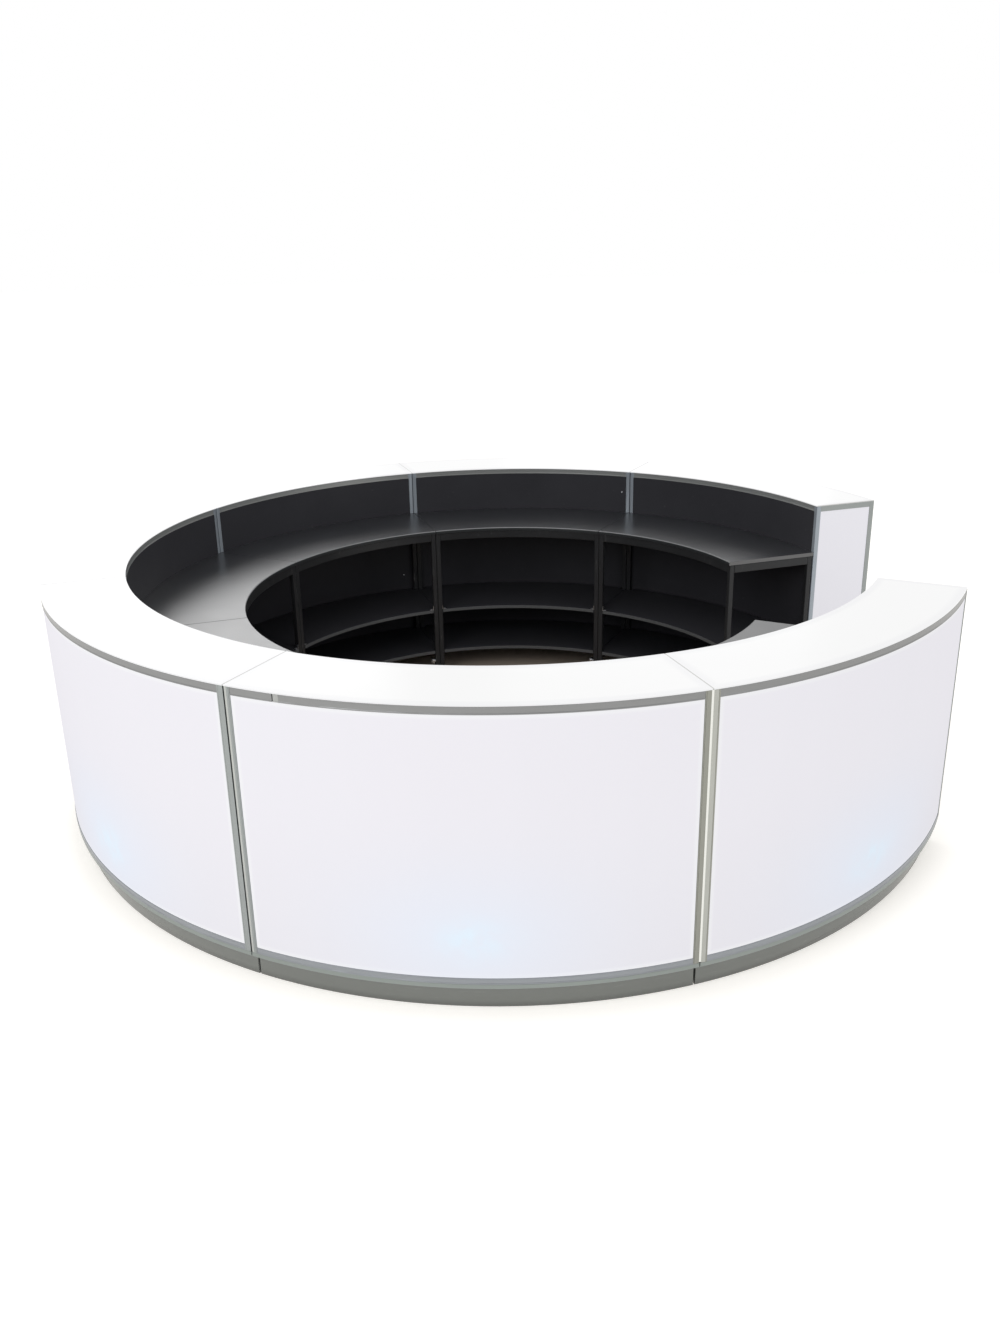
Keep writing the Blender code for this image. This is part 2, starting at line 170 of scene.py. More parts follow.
# The power supply with its rocker switch, and the mains socket under it
SUPPLY_WIDTH = 0.110
SUPPLY_DEPTH = 0.050
SUPPLY_HEIGHT = 0.160
SUPPLY_RIBS = 7
RIB_PITCH = 0.009
RIB_LOWEST = -0.058
SWITCH_LIFT = 0.040
ROCKER_WIDTH = 0.014
ROCKER_LENGTH = 0.022
ROCKER_PROUD = 0.004
ROCKER_BACK = 0.006
ROCKER_ROOM = 0.002
ROCKER_TILT = math.radians(7)
SOCKET_DEPTH = 0.028
SOCKET_WIDTH = 0.034
SOCKET_WALL = 0.003
PIN_LENGTH = 0.0128

# The stage. Each softbox has its name, its turn from the camera in degrees, its distance from the ring's
# axis, its height, its width and its share of the stage's power
FLOOR_REACH = 60.0
FLOOR_OWN_LIGHT = 0.42
FLOOR_TONE = (0.80, 0.79, 0.77)
FLOOR_SHADOW_TINT = (1.0, 0.97, 0.92)
# The floor inside the ring: browner, its real colour, and darker, painted shade of the ring round it
FLOOR_INSIDE_SHADED = (0.52, 0.44, 0.37)
RING_HOLE = 1.75
SOFTBOX_AIM = Vector((0, 0, 0.7))
SOFTBOXES = (
    ("left_softbox", -32, 7.0, 4.2, 3.5, 1.15),
    ("right_softbox", 48, 7.5, 3.4, 3.0, 0.30),
    ("back_left_softbox", -154, 6.5, 3.0, 3.4, 0.75),
    ("back_right_softbox", 166, 6.5, 3.2, 3.2, 0.28),
)
PICTURE_LONG_SIDE = 36
LENS_SHIFT = (0.0013, -0.0039)
FARTHEST_SEEN = 200

# Sizes that follow
BACK_FACE = INNER - CLEARANCE
BACK_ANGLE = END_ANGLE - PROFILE / OUTER - CLEARANCE / INNER
BASE_TOP = CABINET_LOW.z + BOARD
TUBE_REAR = INNER - TUBE_REAR_SETBACK
TUBE_TOP = TUBE_HIGH.z


def linear(red, green, blue):
    """A colour as a screen shows it, 0 to 255, turned into the linear values that shaders take."""
    values = []
    for shown in (red, green, blue):
        share = shown / 255
        values.append(share / 12.92 if share <= 0.04045 else ((share + 0.055) / 1.055) ** 2.4)
    return tuple(values)


def colour(label, description, shown):
    return bpy.props.FloatVectorProperty(name=label, description=description, default=linear(*shown),
                                         size=3, min=0.0, max=1.0, subtype="COLOR")


def length(label, description, default):
    return bpy.props.FloatProperty(name=label, description=description, default=default, min=0.0001,
                                   subtype="DISTANCE", unit="LENGTH", precision=4)


class BarCounterSizes(bpy.types.PropertyGroup):
    arc_steps: bpy.props.IntProperty(
        name="Arc steps", default=48, min=12, max=96,
        description="Straight steps that draw one module's curve")
    edge_round: length("Edge round", "Radius of the profiles' and sheets' edges", 0.0008)
    board_round: length("Board edge round", "Radius of the boards' banded edges", 0.0012)
    tube_round: length("Tube corner", "Corner radius of the square tubes", 0.003)
    profile_lip: length("Profile lip", "Width of the raised lips along a profile", 0.004)
    profile_channel: length("Profile channel", "Depth of the channel between a profile's lips", 0.0008)
    post_slope: length("Post slope", "How far a post's face falls back towards the joint", 0.0024)
    joint_bevel: length("Joint bevel", "Width of the bevel along a post's edge at the joint", 0.0014)
    knob_radius: length("Knob radius", "Radius of a hand screw's lobed knob", 0.0175)


class BarCounterColours(bpy.types.PropertyGroup):
    top_lit: colour("Top, lit", "Opal top over the lamps", (246, 246, 246))
    # Painted shade: the top is darker over the profiles, which keep the lamps' light back
    top_profile_shade: colour("Top, border", "Opal top over the profiles", (241, 241, 242))
    top_seam: colour("Top, seam", "Sawn ends of the opal top", (208, 208, 206))
    front_lit: colour("Front, lit", "Opal front panel", (238, 237, 243))
    front_border: colour("Front, border", "Opal front beside the profiles", (242, 242, 245))
    glow_halo: colour("Glow, halo", "Wide glow of the lamp low in the front", (232, 238, 250))
    glow_core: colour("Glow, core", "Bright middle of the lamp's glow", (228, 243, 255))
    aluminium: colour("Aluminium", "Anodised top bands", (137, 138, 139))
    aluminium_worn: colour("Aluminium, worn", "Pale patch of a top band", (162, 164, 163))
    aluminium_lower: colour("Aluminium, lower", "Anodised bottom bands", (145, 149, 154))
    aluminium_post: colour("Aluminium posts", "Anodised posts", (152, 157, 157))
    aluminium_warm: colour("Aluminium, warm", "Posts of the joint with the foam strip", (147, 148, 141))
    # Painted highlight: the broad face beside the glowing strip is lighter, where it faces the light from
    # the left
    aluminium_warm_bright: colour("Aluminium, warm bright", "Broad face beside that strip", (174, 176, 171))
    aluminium_flange: colour("Aluminium flange", "Lower flange of the bottom band", (140, 147, 144))
    # Painted highlight: the posts' faces that look left at a joint are lighter, where they face the light
    # from the left
    aluminium_bright: colour("Aluminium, bright", "Posts' faces that look left at a joint", (186, 189, 186))
    aluminium_inner: colour("Aluminium, inner", "Bands on the staff's side", (146, 148, 147))
    aluminium_inner_post: colour("Aluminium, inner posts", "Posts on the staff's side", (160, 168, 176))
    plinth: colour("Plinth", "Satin grey plinth", (94, 98, 93))
    board: colour("Boards", "Black melamine over the worktop", (51, 51, 55))
    # Painted shade: the boards under the worktop are darker, where its shade falls
    board_shaded: colour("Boards, low", "Black melamine under the worktop", (50, 50, 54))
    worktop: colour("Worktop", "Black laminate", (42, 43, 47))
    edge_band: colour("Edge band", "Worn edge of the boards", (80, 82, 84))
    worktop_edge: colour("Worktop edge", "Edge band of the worktop", (38, 40, 42))
    # Painted highlight: the worktop's upper edge is lighter, where it catches the light
    worktop_arris: colour("Worktop arris", "Pale upper edge of the worktop", (140, 142, 144))
    tube: colour("Tube", "Black coated tube", (39, 40, 42))
    tube_wear: colour("Tube wear", "Where the coating has rubbed thin", (104, 104, 104))
    zinc: colour("Zinc", "Bright plating", (222, 224, 228))
    housing: colour("Housing", "Black moulded housing", (34, 34, 35))
    rocker: colour("Rocker", "Grey moulded rocker", (92, 92, 94))
    # Painted light: the strip glows where the lamps' light leaks through the joint
    seal: colour("Seal", "Ivory foam strip in a joint", (244, 244, 237))


class BarCounterStage(bpy.types.PropertyGroup):
    azimuth: bpy.props.FloatProperty(
        name="Azimuth", default=math.radians(49), subtype="ANGLE",
        description="Camera's place round the ring")
    distance: length("Distance", "Camera from the ring's axis, level", 5.160)
    height: length("Height", "Camera above the floor", 2.416)
    tilt: bpy.props.FloatProperty(
        name="Tilt", description="Camera's tilt below level", default=math.radians(20.4), subtype="ANGLE")
    yaw: bpy.props.FloatProperty(
        name="Yaw", default=math.radians(0.37), subtype="ANGLE",
        description="Camera's turn off the ring's axis")
    roll: bpy.props.FloatProperty(
        name="Roll", description="Camera's roll", default=math.radians(-1.148), subtype="ANGLE")
    lens: bpy.props.FloatProperty(
        name="Lens", description="Focal length for a 36 mm long side", default=31.21, min=10, unit="CAMERA")
    fill: bpy.props.FloatProperty(
        name="Fill", description="Strength of the even light from all round", default=0.84, min=0)
    mirrored: bpy.props.FloatProperty(
        name="Mirrored", default=0.55, min=0,
        description="How bright the surroundings look in a shiny face")
    softbox: bpy.props.FloatProperty(
        name="Softbox", description="Power of a softbox at full share", default=110, min=0, unit="POWER")


class Value:
    """A socket of a finish's nodes. Arithmetic on it adds Math nodes."""

    def __init__(self, finish, socket):
        self.finish = finish
        self.socket = socket

    def maths(self, operation, *others):
        """A Math node on this value and the others, in that order."""
        return self.finish.maths(operation, self, *others)

    def __add__(self, other):
        return self.maths("ADD", other)

    def __radd__(self, other):
        return self.finish.maths("ADD", other, self)

    def __sub__(self, other):
        return self.maths("SUBTRACT", other)

    def __rsub__(self, other):
        return self.finish.maths("SUBTRACT", other, self)

    def __mul__(self, other):
        return self.maths("MULTIPLY", other)

    def __rmul__(self, other):
        return self.finish.maths("MULTIPLY", other, self)

    def __truediv__(self, other):
        return self.maths("DIVIDE", other)

    def __pow__(self, other):
        return self.maths("POWER", other)

    def __abs__(self):
        return self.maths("ABSOLUTE")


class Finish:
    """A material under one name, with short ways to add its nodes."""

    def __init__(self, name, roughness, metallic=0.0, **constants):
        self.material = bpy.data.materials.new(name)
        self.material.use_nodes = True
        self.tree = self.material.node_tree
        self.shader = self.tree.nodes["Principled BSDF"]
        self.shader.inputs["Roughness"].default_value = roughness
        self.shader.inputs["Metallic"].default_value = metallic
        for label, value in constants.items():
            self.shader.inputs[label.replace("_", " ").title().replace("Ior", "IOR")].default_value = value

    def node(self, kind, settings=None, inputs=None, output=0):
        added = self.tree.nodes.new(kind)
        for label, value in (settings or {}).items():
            setattr(added, label, value)
        for label, value in (inputs or {}).items():
            if isinstance(value, Value):
                self.tree.links.new(value.socket, added.inputs[label])
            else:
                added.inputs[label].default_value = value
        return Value(self, added.outputs[output])

    def maths(self, operation, *operands):
        return self.node("ShaderNodeMath", {"operation": operation}, dict(enumerate(operands)))

    def feed(self, label, value):
        self.tree.links.new(value.socket, self.shader.inputs[label])

    def place(self):
        """The point on the piece in its module's frame, as a vector and as three numbers."""
        point = self.node("ShaderNodeTexCoord", output="Object")
        parts = self.node("ShaderNodeSeparateXYZ", inputs={0: point}).socket.node
        return point, *(Value(self, parts.outputs[axis]) for axis in range(3))

    def polar(self):
        """The point's radius and angle in the ring, and its height."""
        _, x, y, z = self.place()
        radius = (x * x + y * y) ** 0.5
        angle = y.maths("ARCTAN2", x)
        return radius, angle, z

    def chance(self):
        """A number from 0 to 1 that differs from piece to piece."""
        return self.node("ShaderNodeObjectInfo", output="Random")

    def vector(self, x, y, z):
        return self.node("ShaderNodeCombineXYZ", inputs={0: x, 1: y, 2: z})

    def noise(self, vector, scale, detail=3.0, roughness=0.55, seed=0.0):
        return self.node("ShaderNodeTexNoise", {"noise_dimensions": "4D"}, {
            "Vector": vector, "W": seed, "Scale": scale, "Detail": detail, "Roughness": roughness})

    def smooth(self, value, low, high):
        """0 below low and 1 above high, with a soft step between."""
        return self.node("ShaderNodeMapRange", {"interpolation_type": "SMOOTHSTEP"},
                         {"Value": value, "From Min": low, "From Max": high, "To Min": 0.0, "To Max": 1.0})

    def mix(self, share, first, second):
        """A colour between two, each a Value or three numbers. Sockets 6 and 7 take them, and 2 gives it."""
        low, high = (side if isinstance(side, Value) else (*side, 1.0) for side in (first, second))
        return self.node("ShaderNodeMix", {"data_type": "RGBA"}, {0: share, 6: low, 7: high}, output=2)

    def varied(self, share, tone, low, high):
        """A colour that goes from darker to lighter as the share goes from 0 to 1."""
        return self.mix(share, *shades(tone, low, high))

    def bump(self, height, depth, strength=1.0):
        """Raises the surface by the height's share of the depth, in metres."""
        self.feed("Normal", self.node("ShaderNodeBump", inputs={
            "Height": height, "Distance": depth, "Strength": strength}))


def shades(tone, low, high):
    """A colour made darker and lighter."""
    return tuple(part * low for part in tone), tuple(min(part * high, 1.0) for part in tone)


def lit_opal(finish, shown, own_light=OPAL_OWN_LIGHT):
    """Feeds a colour to a lit sheet, part as its own light and part as its surface."""
    finish.feed("Emission Color", shown)
    finish.shader.inputs["Emission Strength"].default_value = own_light
    dimmed = finish.mix(1 - own_light, (0.0, 0.0, 0.0), shown)
    finish.feed("Base Color", dimmed)


def opal_top_finish(name, colours):
    finish = Finish(name, 0.22, Specular_IOR_Level=0.03)
    radius, angle, height = finish.polar()
    point = finish.place()[0]
    to_end = (END_ANGLE - abs(angle)) * radius
    to_side = (radius - INNER).maths("MINIMUM", OUTER - radius)
    to_edge = to_side.maths("MINIMUM", to_end)
    # Painted shade: the sheet's border over the profiles, and its sides, take a darker colour, where the
    # profiles keep the lamps' light back
    lamp = finish.smooth(to_edge, PROFILE * 0.6, PROFILE * 1.7)
    on_top = finish.smooth(height, TOP_HIGH.z - 0.002, TOP_HIGH.z - 0.0006)
    cloud = finish.noise(point, 2.2, 2.0, seed=finish.chance() * 9)
    lit = finish.mix(cloud, tuple(part * 0.985 for part in colours.top_lit), colours.top_lit)
    sheet = finish.mix(lamp * on_top, colours.top_profile_shade, lit)
    shown = finish.mix(finish.smooth(to_end, 0.0002, 0.0014), colours.top_seam, sheet)
    lit_opal(finish, shown, TOP_OWN_LIGHT)
    smudge = finish.noise(point, 14.0, 4.0, 0.6, seed=2.0)
    finish.feed("Roughness", 0.16 + smudge * 0.14)


def spot(along, up, wide, high):
    """1 in the middle of an oval and falling away smoothly outside it."""
    reach = (along / wide) * (along / wide) + (up / high) * (up / high)
    return (reach * -1).maths("EXPONENT")


def opal_front_finish(name, colours):
    finish = Finish(name, 0.18, Specular_IOR_Level=0.0)
    radius, angle, height = finish.polar()
    point = finish.place()[0]
    along = angle * radius
    to_end = (FRONT_ANGLE - abs(angle)) * radius
    to_band = (height - FRONT_LOW.z).maths("MINIMUM", FRONT_HIGH.z - height)
    to_edge = to_end.maths("MINIMUM", to_band)
    inside = finish.smooth(to_edge, 0.003, 0.020)
    # Painted shade: the sheet darkens towards the bottom. Painted reflection: the faint warm tint and the
    # darker upright streaks stand in for the surroundings mirrored in the sheet
    low = 1 - finish.smooth(height, FRONT_LOW.z, 0.75)
    chance = finish.chance()
    cloud = finish.noise(point, 1.6, 2.0, seed=chance * 7)
    warm = finish.mix(cloud, colours.front_lit, tuple(part * tint for part, tint in
                                                      zip(colours.front_lit, (1.0, 0.985, 0.985))))
    streaks = finish.noise(finish.vector(along * 9, height * 0.6, 0.0), 1.0, 2.0, seed=chance * 11)
    sheet = finish.mix(low * 0.35 + streaks * 0.2, warm, tuple(part * 0.93 for part in colours.front_lit))
    bordered = finish.mix(inside, colours.front_border, sheet)
    up = height - GLOW_HEIGHT
    patch = finish.smooth(finish.noise(point, 11.0, 3.0, 0.6, seed=chance * 5), 0.36, 0.62)
    aside = along - (chance - 0.5) * GLOW_SHIFT
    halo = spot(aside, up, HALO_WIDE, HALO_HIGH)
    core = spot(aside, up, CORE_WIDE, CORE_HIGH) * (0.35 + patch * 0.65)
    haloed = finish.mix(halo * 0.75, bordered, colours.glow_halo)
    lit_opal(finish, finish.mix(core * 0.9, haloed, colours.glow_core))
    finish.feed("Roughness", 0.12 + finish.noise(point, 9.0, 4.0, 0.6, seed=chance * 3) * 0.14)


def opal_end_finish(name, colours):
    finish = Finish(name, 0.20, Specular_IOR_Level=0.0)
    point, _, _, height = finish.place()
    # Painted shade: the end sheet darkens towards the bottom
    low = 1 - finish.smooth(height, FRONT_LOW.z, FRONT_HIGH.z)
    cloud = finish.noise(point, 3.0, 2.0)
    dark = shades(colours.front_lit, 0.9, 1.0)[0]
    lit_opal(finish, finish.mix(low * 0.5 + cloud * 0.15, colours.front_lit, dark))


def brushed(finish, tone, lines, roughness):
    """An anodised surface whose fine lines run where the given vector is squeezed."""
    fine = finish.noise(lines, 1.0, 2.0, 0.7)
    blotch = finish.noise(finish.place()[0], 5.0, 3.0, seed=finish.chance() * 6)
    finish.feed("Base Color", finish.varied(fine * 0.55 + blotch * 0.45, tone, 0.86, 1.13))
    finish.feed("Roughness", roughness - 0.05 + fine * 0.10 + blotch * 0.06)
    finish.bump(fine, 0.00004)


def band_finish(name, colours, tone, metallic=0.85):
    finish = Finish(name, 0.32, metallic)
    radius, angle, height = finish.polar()
    lines = finish.vector(angle * 6, radius * 900, height * 900)
    brushed(finish, getattr(colours, tone), lines, 0.30)


def upright_finish(name, colours, tone, metallic=0.85):
    finish = Finish(name, 0.36, metallic, Specular_Tint=(0.4, 0.4, 0.4, 1.0))
    _, x, y, z = finish.place()
    brushed(finish, getattr(colours, tone), finish.vector(x * 900, y * 900, z * 8), 0.34)


def plinth_finish(name, colours):
    finish = Finish(name, 0.3, 0.1, Specular_IOR_Level=1.0, IOR=1.65)
    radius, angle, height = finish.polar()
    point = finish.place()[0]
    chance = finish.chance()
    cloud = finish.noise(point, 3.5, 4.0, 0.6, seed=chance * 8)
    # Painted shade: the plinth darkens towards the floor
    near_floor_shade = 1 - finish.smooth(height, 0.004, 0.030)
    stretch = finish.vector(angle * 14, radius * 20, height * 60)
    streaks = finish.noise(stretch, 1.6, 5.0, 0.65, seed=chance * 4)
    scuff = finish.smooth(streaks, 0.60, 0.72)
    painted = finish.varied(cloud, colours.plinth, 0.88, 1.12)
    scuffed = finish.mix(scuff * 0.45, painted, tuple(part * 1.6 for part in colours.plinth))
    shade = tuple(part * 0.35 for part in colours.plinth)
    finish.feed("Base Color", finish.mix(near_floor_shade * (0.35 + cloud * 0.5), scuffed, shade))
    finish.feed("Roughness", 0.13 + cloud * 0.09 - scuff * 0.03)
    finish.bump(streaks, 0.0002, 0.5)


def board_finish(name, colours):
    """Melamine with a fine grain, a soft cloud of handling marks, a little dust, and painted shade below the
    worktop.
    """
    finish = Finish(name, 0.45, Specular_IOR_Level=0.12)
    # Painted shade: the boards are darker below the worktop, where its shade falls
    over = finish.smooth(finish.place()[3], WORKTOP_LOW.z - 0.03, WORKTOP_LOW.z + 0.01)
    tone = finish.mix(over, colours.board_shaded, colours.board)
    point = finish.place()[0]
    chance = finish.chance()
    grain = finish.noise(point, 480.0, 3.0, 0.6)
    cloud = finish.noise(point, 3.0, 5.0, 0.62, seed=chance * 9)
    specks = finish.smooth(finish.noise(point, 60.0, 2.0, 0.5, seed=chance * 3), 0.68, 0.78)
    board = finish.node("ShaderNodeVectorMath", {"operation": "SCALE"}, {0: tone, 3: 0.78 + cloud * 0.47})
    finish.feed("Base Color", finish.mix(specks * 0.05, board, (0.35, 0.35, 0.34)))
    finish.feed("Roughness", 0.37 + cloud * 0.16 + specks * 0.08)
    finish.bump(grain, 0.00005)


def worktop_finish(name, colours):
    finish = Finish(name, 0.2, Specular_IOR_Level=1.0, IOR=1.6)
    point, x, y, z = finish.place()
    chance = finish.chance()
    cloud = finish.noise(point, 4.0, 5.0, 0.62, seed=chance * 9)
    stretch = finish.vector(x * 5 + y * 2, y * 60 - x * 12, z)
    scratches = finish.smooth(finish.noise(stretch, 3.0, 4.0, 0.75, seed=chance * 4), 0.63, 0.70)
    specks = finish.smooth(finish.noise(point, 90.0, 2.0, 0.5, seed=chance), 0.70, 0.78)
    sheet = finish.varied(cloud, colours.worktop, 0.8, 1.3)
    finish.feed("Base Color", finish.mix(scratches * 0.07 + specks * 0.10, sheet, (0.5, 0.5, 0.5)))
    finish.feed("Roughness", 0.24 + cloud * 0.12 + scratches * 0.10)
    finish.bump(finish.noise(point, 420.0, 2.0, 0.5), 0.00003)


# Real wear for the edge bands, and for the worktop's arris a painted highlight
def edge_wear_and_highlight_finish(name, colours, tone):
    finish = Finish(name, 0.4, Specular_IOR_Level=0.3)
    radius, angle, height = finish.polar()
    stretch = finish.vector(angle * 40, radius * 10, height * 120)
    wear = finish.noise(stretch, 2.0, 5.0, 0.7, seed=finish.chance() * 5)
    finish.feed("Base Color", finish.varied(wear, getattr(colours, tone), 0.55, 1.5))
    finish.feed("Roughness", 0.34 + wear * 0.2)
    finish.bump(wear, 0.0001, 0.6)


def tube_finish(name, colours):
    finish = Finish(name, 0.36, Specular_IOR_Level=0.3)
    point, x, y, z = finish.place()
    chance = finish.chance()
    long_marks = finish.noise(finish.vector(x * 60, y * 60, z * 9), 1.0, 5.0, 0.7, seed=chance * 6)
    cloud = finish.noise(point, 7.0, 4.0, 0.6, seed=chance * 3)
    rubbed = finish.smooth(long_marks, 0.58, 0.72) * finish.smooth(cloud, 0.40, 0.62)
    coat = finish.varied(cloud, colours.tube, 0.8, 1.3)
    finish.feed("Base Color", finish.mix(rubbed * 0.7, coat, colours.tube_wear))
    finish.feed("Roughness", 0.30 + cloud * 0.16 + rubbed * 0.1)
    finish.bump(finish.noise(point, 260.0, 2.0, 0.5), 0.00008)


def zinc_finish(name, colours):
    finish = Finish(name, 0.24, 1.0)
    point = finish.place()[0]
    bloom = finish.noise(point, 120.0, 4.0, 0.6)
    finish.feed("Base Color", finish.varied(bloom, colours.zinc, 0.72, 1.05))
    finish.feed("Roughness", 0.16 + bloom * 0.22)


def moulded_finish(name, colours, tone, roughness):
    finish = Finish(name, roughness)
    point = finish.place()[0]
    grain = finish.noise(point, 900.0, 2.0, 0.5)
    cloud = finish.noise(point, 20.0, 3.0, 0.6)
    finish.feed("Base Color", finish.varied(cloud, getattr(colours, tone), 0.85, 1.2))
    finish.feed("Roughness", roughness - 0.05 + cloud * 0.1)
    finish.bump(grain, 0.00008)


# Painted light: a glowing strip that stands in for the lamps' light leaking through the joint's gap
def light_leak_finish(name, colours):
    finish = Finish(name, 0.7)
    point = finish.place()[0]
    glowing = finish.noise(point, 300.0, 3.0, 0.6)
    lit_opal(finish, finish.varied(glowing, colours.seal, 0.9, 1.0))
    finish.bump(glowing, 0.0003)


def lamp_finish(name, colours):
    finish = Finish(name, 0.4)
    y = finish.place()[2]
    rows = finish.smooth(abs((y * LAMPS_PER_METRE).maths("FRACT") - 0.5), 0.1, 0.4)
    finish.feed("Emission Color", finish.mix(rows, colours.glow_core, (1.0, 1.0, 1.0)))
    finish.shader.inputs["Emission Strength"].default_value = 1.0
    finish.feed("Base Color", finish.mix(rows, colours.glow_core, (0.9, 0.9, 0.9)))


# Each finish: the function that makes it, and what that takes after the name and the colours
FINISHES = {
    "lit_top": (opal_top_finish,),
    "lit_front": (opal_front_finish,),
    "lit_end": (opal_end_finish,),
    "anodised_band": (band_finish, "aluminium"),
    "anodised_worn": (band_finish, "aluminium_worn"),
    "anodised_lower": (band_finish, "aluminium_lower"),
    "anodised_flange": (band_finish, "aluminium_flange"),
    "anodised_inner": (band_finish, "aluminium_inner", 0.4),
    "anodised_post": (upright_finish, "aluminium_post"),
    "anodised_bright": (upright_finish, "aluminium_bright"),
    "anodised_warm": (upright_finish, "aluminium_warm"),
    "anodised_warm_bright": (upright_finish, "aluminium_warm_bright"),
    "anodised_inner_post": (upright_finish, "aluminium_inner_post", 0.5),
    "grey_plinth": (plinth_finish,),
    "melamine_board": (board_finish,),
    "dark_laminate": (worktop_finish,),
    "worn_edge": (edge_wear_and_highlight_finish, "edge_band"),
    "worktop_edge": (edge_wear_and_highlight_finish, "worktop_edge"),
    "worktop_arris": (edge_wear_and_highlight_finish, "worktop_arris"),
    "coated_tube": (tube_finish,),
    "plated_zinc": (zinc_finish,),
    "black_moulding": (moulded_finish, "housing", 0.5),
    "grey_moulding": (moulded_finish, "rocker", 0.3),
    "ivory_foam": (light_leak_finish,),
    "lamp_diffuser": (lamp_finish,),
}


def finish_named(name):
    """The material of that name, made the first time that it is asked for."""
    if name not in bpy.data.materials:
        make, *details = FINISHES[name]
        make(name, bpy.context.scene.bar_colours, *details)
    return bpy.data.materials[name]


def rectangle(low_across, high_across, low_up, high_up):
    return [(low_across, low_up), (high_across, low_up), (high_across, high_up), (low_across, high_up)]


def sweep(shape, outline, start, end, steps, finish=0):
    """Carries a closed outline of radius and height round the ring's axis, with flat ends."""
    rings = []
    for step in range(steps + 1):
        angle = start + (end - start) * step / steps
        rings.append([shape.verts.new((radius * math.cos(angle), radius * math.sin(angle), height))
                      for radius, height in outline])
    close_rings(shape, rings, finish)


def extrude(shape, outline, place, reach, finish=0):
    """Carries a closed outline along the Z axis of a place, with flat ends."""
    rings = []
    for out in (0.0, reach):
        rings.append([shape.verts.new(place @ Vector((across, up, out))) for across, up in outline])
    close_rings(shape, rings, finish)


def turn_round(shape, stations, place, sides, lobes=0, finish=0):
    """Carries rings up the Z axis of a place. A station is a height, a radius and a lobe depth."""
    rings = []
    for height, radius, lobe_depth in stations:
        ring = []
        for side in range(sides):
            angle = 2 * math.pi * side / sides
            reach = radius - lobe_depth * (1 - math.cos(lobes * angle)) / 2
            point = Vector((reach * math.cos(angle), reach * math.sin(angle), height))
            ring.append(shape.verts.new(place @ point))
        rings.append(ring)
    close_rings(shape, rings, finish)


def close_rings(shape, rings, finish):
    """Skins a row of rings and closes both its ends."""
    count = len(rings[0])
    faces = [shape.faces.new(rings[0]), shape.faces.new(rings[-1])]
    for near, far in zip(rings, rings[1:]):
        for index in range(count):
            after = (index + 1) % count
            faces.append(shape.faces.new((near[index], near[after], far[after], far[index])))
    for face in faces:
        face.material_index = finish


def end_place(along, inward, height, side=1):
    """A frame at a module's end plane: X out from the ring's axis, Y into the module and Z up."""
    out = Vector((math.cos(END_ANGLE), side * math.sin(END_ANGLE), 0))
    into = Vector((math.sin(END_ANGLE), -side * math.cos(END_ANGLE), 0))
    centre = out * along + into * inward + Vector((0, 0, height))
    place = Matrix((out, into, Vector((0, 0, 1)))).transposed().to_4x4()
    place.translation = centre
    return place


def lay_down(place):
    """The same frame with its Z axis along the old X, so that an outline's two numbers run in Y and up."""
    return place @ Matrix(((0, 0, 1, 0), (1, 0, 0, 0), (0, 1, 0, 0), (0, 0, 0, 1)))


def finished_mesh(name, shape, materials):
    bmesh.ops.recalc_face_normals(shape, faces=shape.faces)
    mesh = bpy.data.meshes.new(name)
    shape.to_mesh(mesh)
    shape.free()
    mesh.shade_smooth()
    mesh.set_sharp_from_angle(angle=math.radians(32))
    for material in materials:
        mesh.materials.append(finish_named(material))
    return mesh


def add_piece(name, mesh, replaced, turn=0.0, place=None, body=BODY, edge=None):
    """Puts a piece in the scene, rounds its edges and has it ride on its body in place of the CAD nodes."""
    piece = bpy.data.objects.new(name, mesh)
    bpy.context.scene.collection.objects.link(piece)
    piece.matrix_world = Matrix.Rotation(turn, 4, "Z") @ (place or Matrix.Identity(4))
    if edge:
        rounding = piece.modifiers.new("edges", "BEVEL")
        rounding.width = edge
        rounding.segments = 2
        rounding.limit_method = "ANGLE"
        rounding.angle_limit = math.radians(40)
        rounding.harden_normals = True
    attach(piece, body)
    if replaced:
        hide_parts(*replaced)
    return piece


def module_turn(number):
    return -(number - 1) * MODULE_ANGLE


def add_to_modules(kind, mesh, node, edge=None, numbers=None):
    """One copy of a piece for each module, all of one mesh."""
    for number in numbers or range(1, MODULES + 1):
        replaced = [f"{node}_{number}"] if node else []
        add_piece(f"{kind}_{number}", mesh, replaced, module_turn(number), edge=edge)


def opal_top_mesh(steps):
    shape = bmesh.new()
    sweep(shape, rectangle(INNER, OUTER, TOP_LOW.z, TOP_HIGH.z), -END_ANGLE, END_ANGLE, steps)
    return finished_mesh("opal_top", shape, ["lit_top"])


def opal_front_mesh(steps):
    shape = bmesh.new()
    outline = rectangle(FRONT_HIGH.x - OPAL_SHEET, FRONT_HIGH.x, FRONT_LOW.z, FRONT_HIGH.z)
    sweep(shape, outline, -FRONT_ANGLE, FRONT_ANGLE, steps)
    return finished_mesh("opal_front", shape, ["lit_front"])


def band_outline(face, inward, low, high, sizes):
    """A band's section as radius and height: two lips with a shallow channel between them."""
    lip, channel = sizes.profile_lip, sizes.profile_channel
    points = [(0, low), (0, low + lip), (channel, low + lip + channel), (channel, high - lip - channel),
              (0, high - lip), (0, high), (PROFILE, high), (PROFILE, low)]
    return [(face + inward * depth, height) for depth, height in points]


